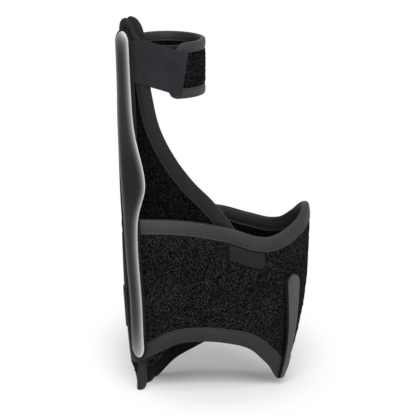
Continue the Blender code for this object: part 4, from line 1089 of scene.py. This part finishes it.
def makeHeelStrap():
    hinge = nearEnd + layers["skin"] + 2 * layers["clearance"]
    first = railS + rail["half"] + carrier["margin"] + layers["clearance"]
    end = hinge + heel["length"]
    s = np.linspace(first, end, heel["points"])
    level = heel["off"] + heel["thick"] / 2
    middle = onForm(s, heel["z"], level)
    half = heel["width"] / 2
    across = unit(onForm(s, heel["z"] + half, level) - onForm(s, heel["z"] - half, level))
    out = onForm(s, heel["z"], level + 1.0) - middle
    piece = ribbon("heelStrap", middle, across, out, heel["width"], heel["thick"], "strap")
    bends = [onForm(hinge + away, heel["z"], level) for away in heel["bend"]]
    bend(piece, "heel_strap", "strap", *bends, "heel_strap", "heel_strap_root")

    last = end - strap["hookInset"]
    held = (s > last - heel["hookLength"]) & (s < last)
    inner = middle[held] - out[held] * (heel["thick"] + heel["off"]) / 2
    pad = ribbon("heelStrapHook", inner, across[held], out[held], heel["width"] - 2 * strap["hookInset"],
                 heel["off"] - heel["hookGap"], "hook")
    place(pad, "heel_strap", "hook", "heel_strap_hook")
    print("heel strap")


tab = {
    "top": 105.0, "bottom": 16.0, "rootLength": 9.0, "halfTop": 8.6, "halfBottom": 5.5, "thick": 2.6,
    "topS": 37.2, "bottomS": 25.0, "swing": (0.1, 0.8), "round": 0.5, "crown": 0.25, "rim": 0.25,
    "uvHalf": 10.0, "bend": (-1.0, 4.0), "rows": 70, "turns": 14, "arc": 31, "flat": 7,
    "turnTo": np.radians(84.0), "hookGrid": (40, 9), "hookOff": 0.25,
}


def tabShare(z):
    return (z - tab["bottom"]) / (tab["top"] - tab["bottom"])


def tabMiddle(z):
    first, more = tab["swing"]
    return tab["bottomS"] + (tab["topS"] - tab["bottomS"]) * ease(tabShare(z) * more + first)


def tabHalf(z):
    return tab["halfBottom"] + (tab["halfTop"] - tab["halfBottom"]) * ease(tabShare(z))


def makeTab():  # tapered tongue with a round top, crowned face and rounded-over edges
    shoulder = tab["top"] - tab["halfTop"]
    low = tab["bottom"] - layers["hingeGap"] - tab["rootLength"]
    z, left = roundTop(low, shoulder, tab["halfTop"], tab["rows"], tab["turnTo"], tab["turns"])
    angle = np.linspace(np.pi, 0.0, tab["arc"])
    across = np.sign(np.cos(angle)) * np.abs(np.cos(angle)) ** tab["round"]
    crown = 1 - tab["crown"] * across**2
    thick = tab["thick"] * crown * (tab["rim"] + (1 - tab["rim"]) * np.sin(angle) ** tab["round"])
    u = np.concatenate([across, np.linspace(1.0, -1.0, tab["flat"])])
    high = np.concatenate([thick, np.zeros(tab["flat"])])
    s = tabMiddle(z)[:, None] + (tabHalf(z) * left)[:, None] * u
    rings = onForm(s, z[:, None], strapOver + high)
    piece = tubePiece("frontTab", rings, "tab", paired(z[:, None], tab["uvHalf"] * u))
    bends = [onForm(tabMiddle(tab["bottom"]), tab["bottom"] + away, strapOver) for away in tab["bend"]]
    bend(piece, "front_tab", "tab", *bends, "front_tab", "front_tab_root")

    rows, columns = tab["hookGrid"]
    z = np.linspace(tab["bottom"] + 4 * tab["halfTop"], shoulder, rows)[:, None]
    s = tabMiddle(z) + (tabHalf(z) - strap["hookInset"]) * np.linspace(-1.0, 1.0, columns)
    pad = layer("frontTabHook", onForm, s, z, strapOver - hair, tab["hookOff"], "hook")
    place(pad, "front_tab", "hook", "front_tab_hook")
    print("front tab")


label = {
    "s": 82.5, "width": 34.0, "drop": 15.6, "thick": 0.45, "gap": 0.35, "belly": 0.5, "kick": 0.3,
    "columns": 60, "rows": 16, "turns": 9,
}


def makeLabel():  # blank label folded double: front leaf, round fold at the bottom, back leaf
    half, thick = label["width"] / 2, label["thick"]
    s = np.linspace(label["s"] + half, label["s"] - half, label["columns"])
    top = wrapTop(s) - pastBinding(wrapTop, s)
    drop = np.linspace(0.0, 1.0, label["rows"])
    turn = np.linspace(0.0, np.pi, label["turns"])[1:-1]
    out = label["gap"] + 2 * thick + label["belly"] * np.sin(np.pi * drop) + label["kick"] * drop
    front = paired(-label["drop"] * drop, out)
    fold = paired(-label["drop"] - thick * np.sin(turn), out[-1] - thick + thick * np.cos(turn))
    profile = np.concatenate([front, fold, front[::-1] - (0.0, 2 * thick)])
    rings = onForm(s[:, None], top[:, None] + profile[:, 0], profile[:, 1])
    piece = tubePiece("labelTab", rings, "label", paired(s[:, None], runLength(profile)))
    place(piece, "orthosis", "label", "label_tab")
    print("label")


makeWrap()
makePanel()
makeLiner()
makeStay()
makeBand()
makeCalfStrap()
makeHeelStrap()
makeTab()
makeLabel()


# Stage, light and camera

stage = {
    "floor": 12.0, "colour": 0.95, "centre": (0.01, 0.11), "squash": 2.2, "nearRadius": 0.06,
    "farRadius": 0.125,
}


def makeFloor():  # pale floor: keeps the shadow in an oval round the object, white to the camera beyond it
    size = stage["floor"]
    mesh = bpy.data.meshes.new("floor")
    corners = [(-size, -size, 0), (size, -size, 0), (size, size, 0), (-size, size, 0)]
    mesh.from_pydata(corners, [], [(0, 1, 2, 3)])
    floor = bpy.data.objects.new("floor", mesh)
    bpy.context.scene.collection.objects.link(floor)
    look, tree, shader = newLook("paleFloor", Roughness=0.9, Specular_IOR_Level=0.1,
                                 Base_Color=(*[stage["colour"]] * 3, 1.0))
    middleX, middleY = stage["centre"]
    squash = stage["squash"]
    oval = addNode(tree, "Mapping", Vector=objectPlace(tree), Location=(-middleX, -middleY / squash, 0.0),
                   Scale=(1.0, 1.0 / squash, 1.0)).outputs[0]
    away = addNode(tree, "VectorMath", {"operation": "LENGTH"}, Vector=oval).outputs["Value"]
    far = eased(tree, away, stage["nearRadius"], stage["farRadius"], 0.0, 1.0)
    ray = addNode(tree, "LightPath").outputs
    seen = mathOf(tree, "MAXIMUM", ray["Is Glossy Ray"], ray["Is Transmission Ray"])
    seen = mathOf(tree, "MAXIMUM", ray["Is Camera Ray"], seen)
    white = addNode(tree, "Emission", Strength=1.0)
    mix = addNode(tree, "MixShader", Fac=mathOf(tree, "MULTIPLY", far, seen))
    tree.links.new(shader.outputs[0], mix.inputs[1])
    tree.links.new(white.outputs[0], mix.inputs[2])
    tree.links.new(mix.outputs[0], tree.nodes["Material Output"].inputs["Surface"])
    mesh.materials.append(look)


lamps = {
    "keyBox": {"at": (0.15, -1.7, 1.45), "aim": (0.0, 0.0, 0.1), "size": (2.3, 1.5), "power": 47.0},
    "topBox": {"at": (-0.1, 0.4, 1.9), "aim": (0.0, 0.0, 0.1), "size": (1.4, 1.4), "power": 5.0},
    "rightStrip": {"at": (1.5, -0.2, 0.8), "aim": (0.0, 0.0, 0.17), "size": (0.25, 1.6), "power": 4.0},
}
skyLight = {"lit": 0.36, "mirrored": 0.85}


def makeLight():  # low even sky, brighter in reflections and white to the camera, with three soft boxes
    world = bpy.data.worlds.new("studio")
    world.use_nodes = True
    tree = world.node_tree
    ray = addNode(tree, "LightPath").outputs
    seen = mathOf(tree, "MAXIMUM", ray["Is Camera Ray"], ray["Is Transmission Ray"])
    whole = mathOf(tree, "MULTIPLY", seen, 1.0 - skyLight["lit"])
    mirrored = mathOf(tree, "MULTIPLY", ray["Is Glossy Ray"], skyLight["mirrored"] - skyLight["lit"])
    strength = mathOf(tree, "ADD", mathOf(tree, "MAXIMUM", whole, mirrored), skyLight["lit"])
    feed(tree, tree.nodes["Background"], Color=(1.0, 1.0, 1.0, 1.0), Strength=strength)
    bpy.context.scene.world = world
    for name, lamp in lamps.items():
        light = bpy.data.lights.new(name, "AREA")
        light.shape = "RECTANGLE"
        light.size, light.size_y = lamp["size"]
        light.energy = lamp["power"]
        lit = bpy.data.objects.new(name, light)
        lit.location = lamp["at"]
        lit.rotation_euler = (Vector(lamp["aim"]) - Vector(lamp["at"])).to_track_quat("-Z", "Y").to_euler()
        bpy.context.scene.collection.objects.link(lit)


shot = {
    "azimuth": np.radians(-4.0), "elevation": np.radians(12.0), "distance": 3.0, "wide": 0.3845,
    "right": -3.64, "up": 157.3, "clip": 50.0,
}


def makeCamera():  # long lens at the photograph's angle, with the object as large in the frame as there
    a, e = shot["azimuth"], shot["elevation"]
    back = np.array([np.sin(a) * np.cos(e), -np.cos(a) * np.cos(e), np.sin(e)])
    right = np.array([np.cos(a), np.sin(a), 0.0])
    up = np.cross(back, right)
    aim = Vector(inFrame(right * shot["right"] + up * shot["up"]))
    lens = bpy.data.cameras.new("camera")
    lens.lens = lens.sensor_width * shot["distance"] / shot["wide"]
    lens.clip_end = shot["clip"]
    camera = bpy.data.objects.new("camera", lens)
    camera.location = aim + Vector(back) * shot["distance"]
    camera.rotation_euler = (-Vector(back)).to_track_quat("-Z", "Y").to_euler()
    bpy.context.scene.collection.objects.link(camera)
    bpy.context.scene.camera = camera


makeFloor()
makeLight()
makeCamera()
bpy.context.scene.view_settings.view_transform = "Standard"
print("stage, light and camera")
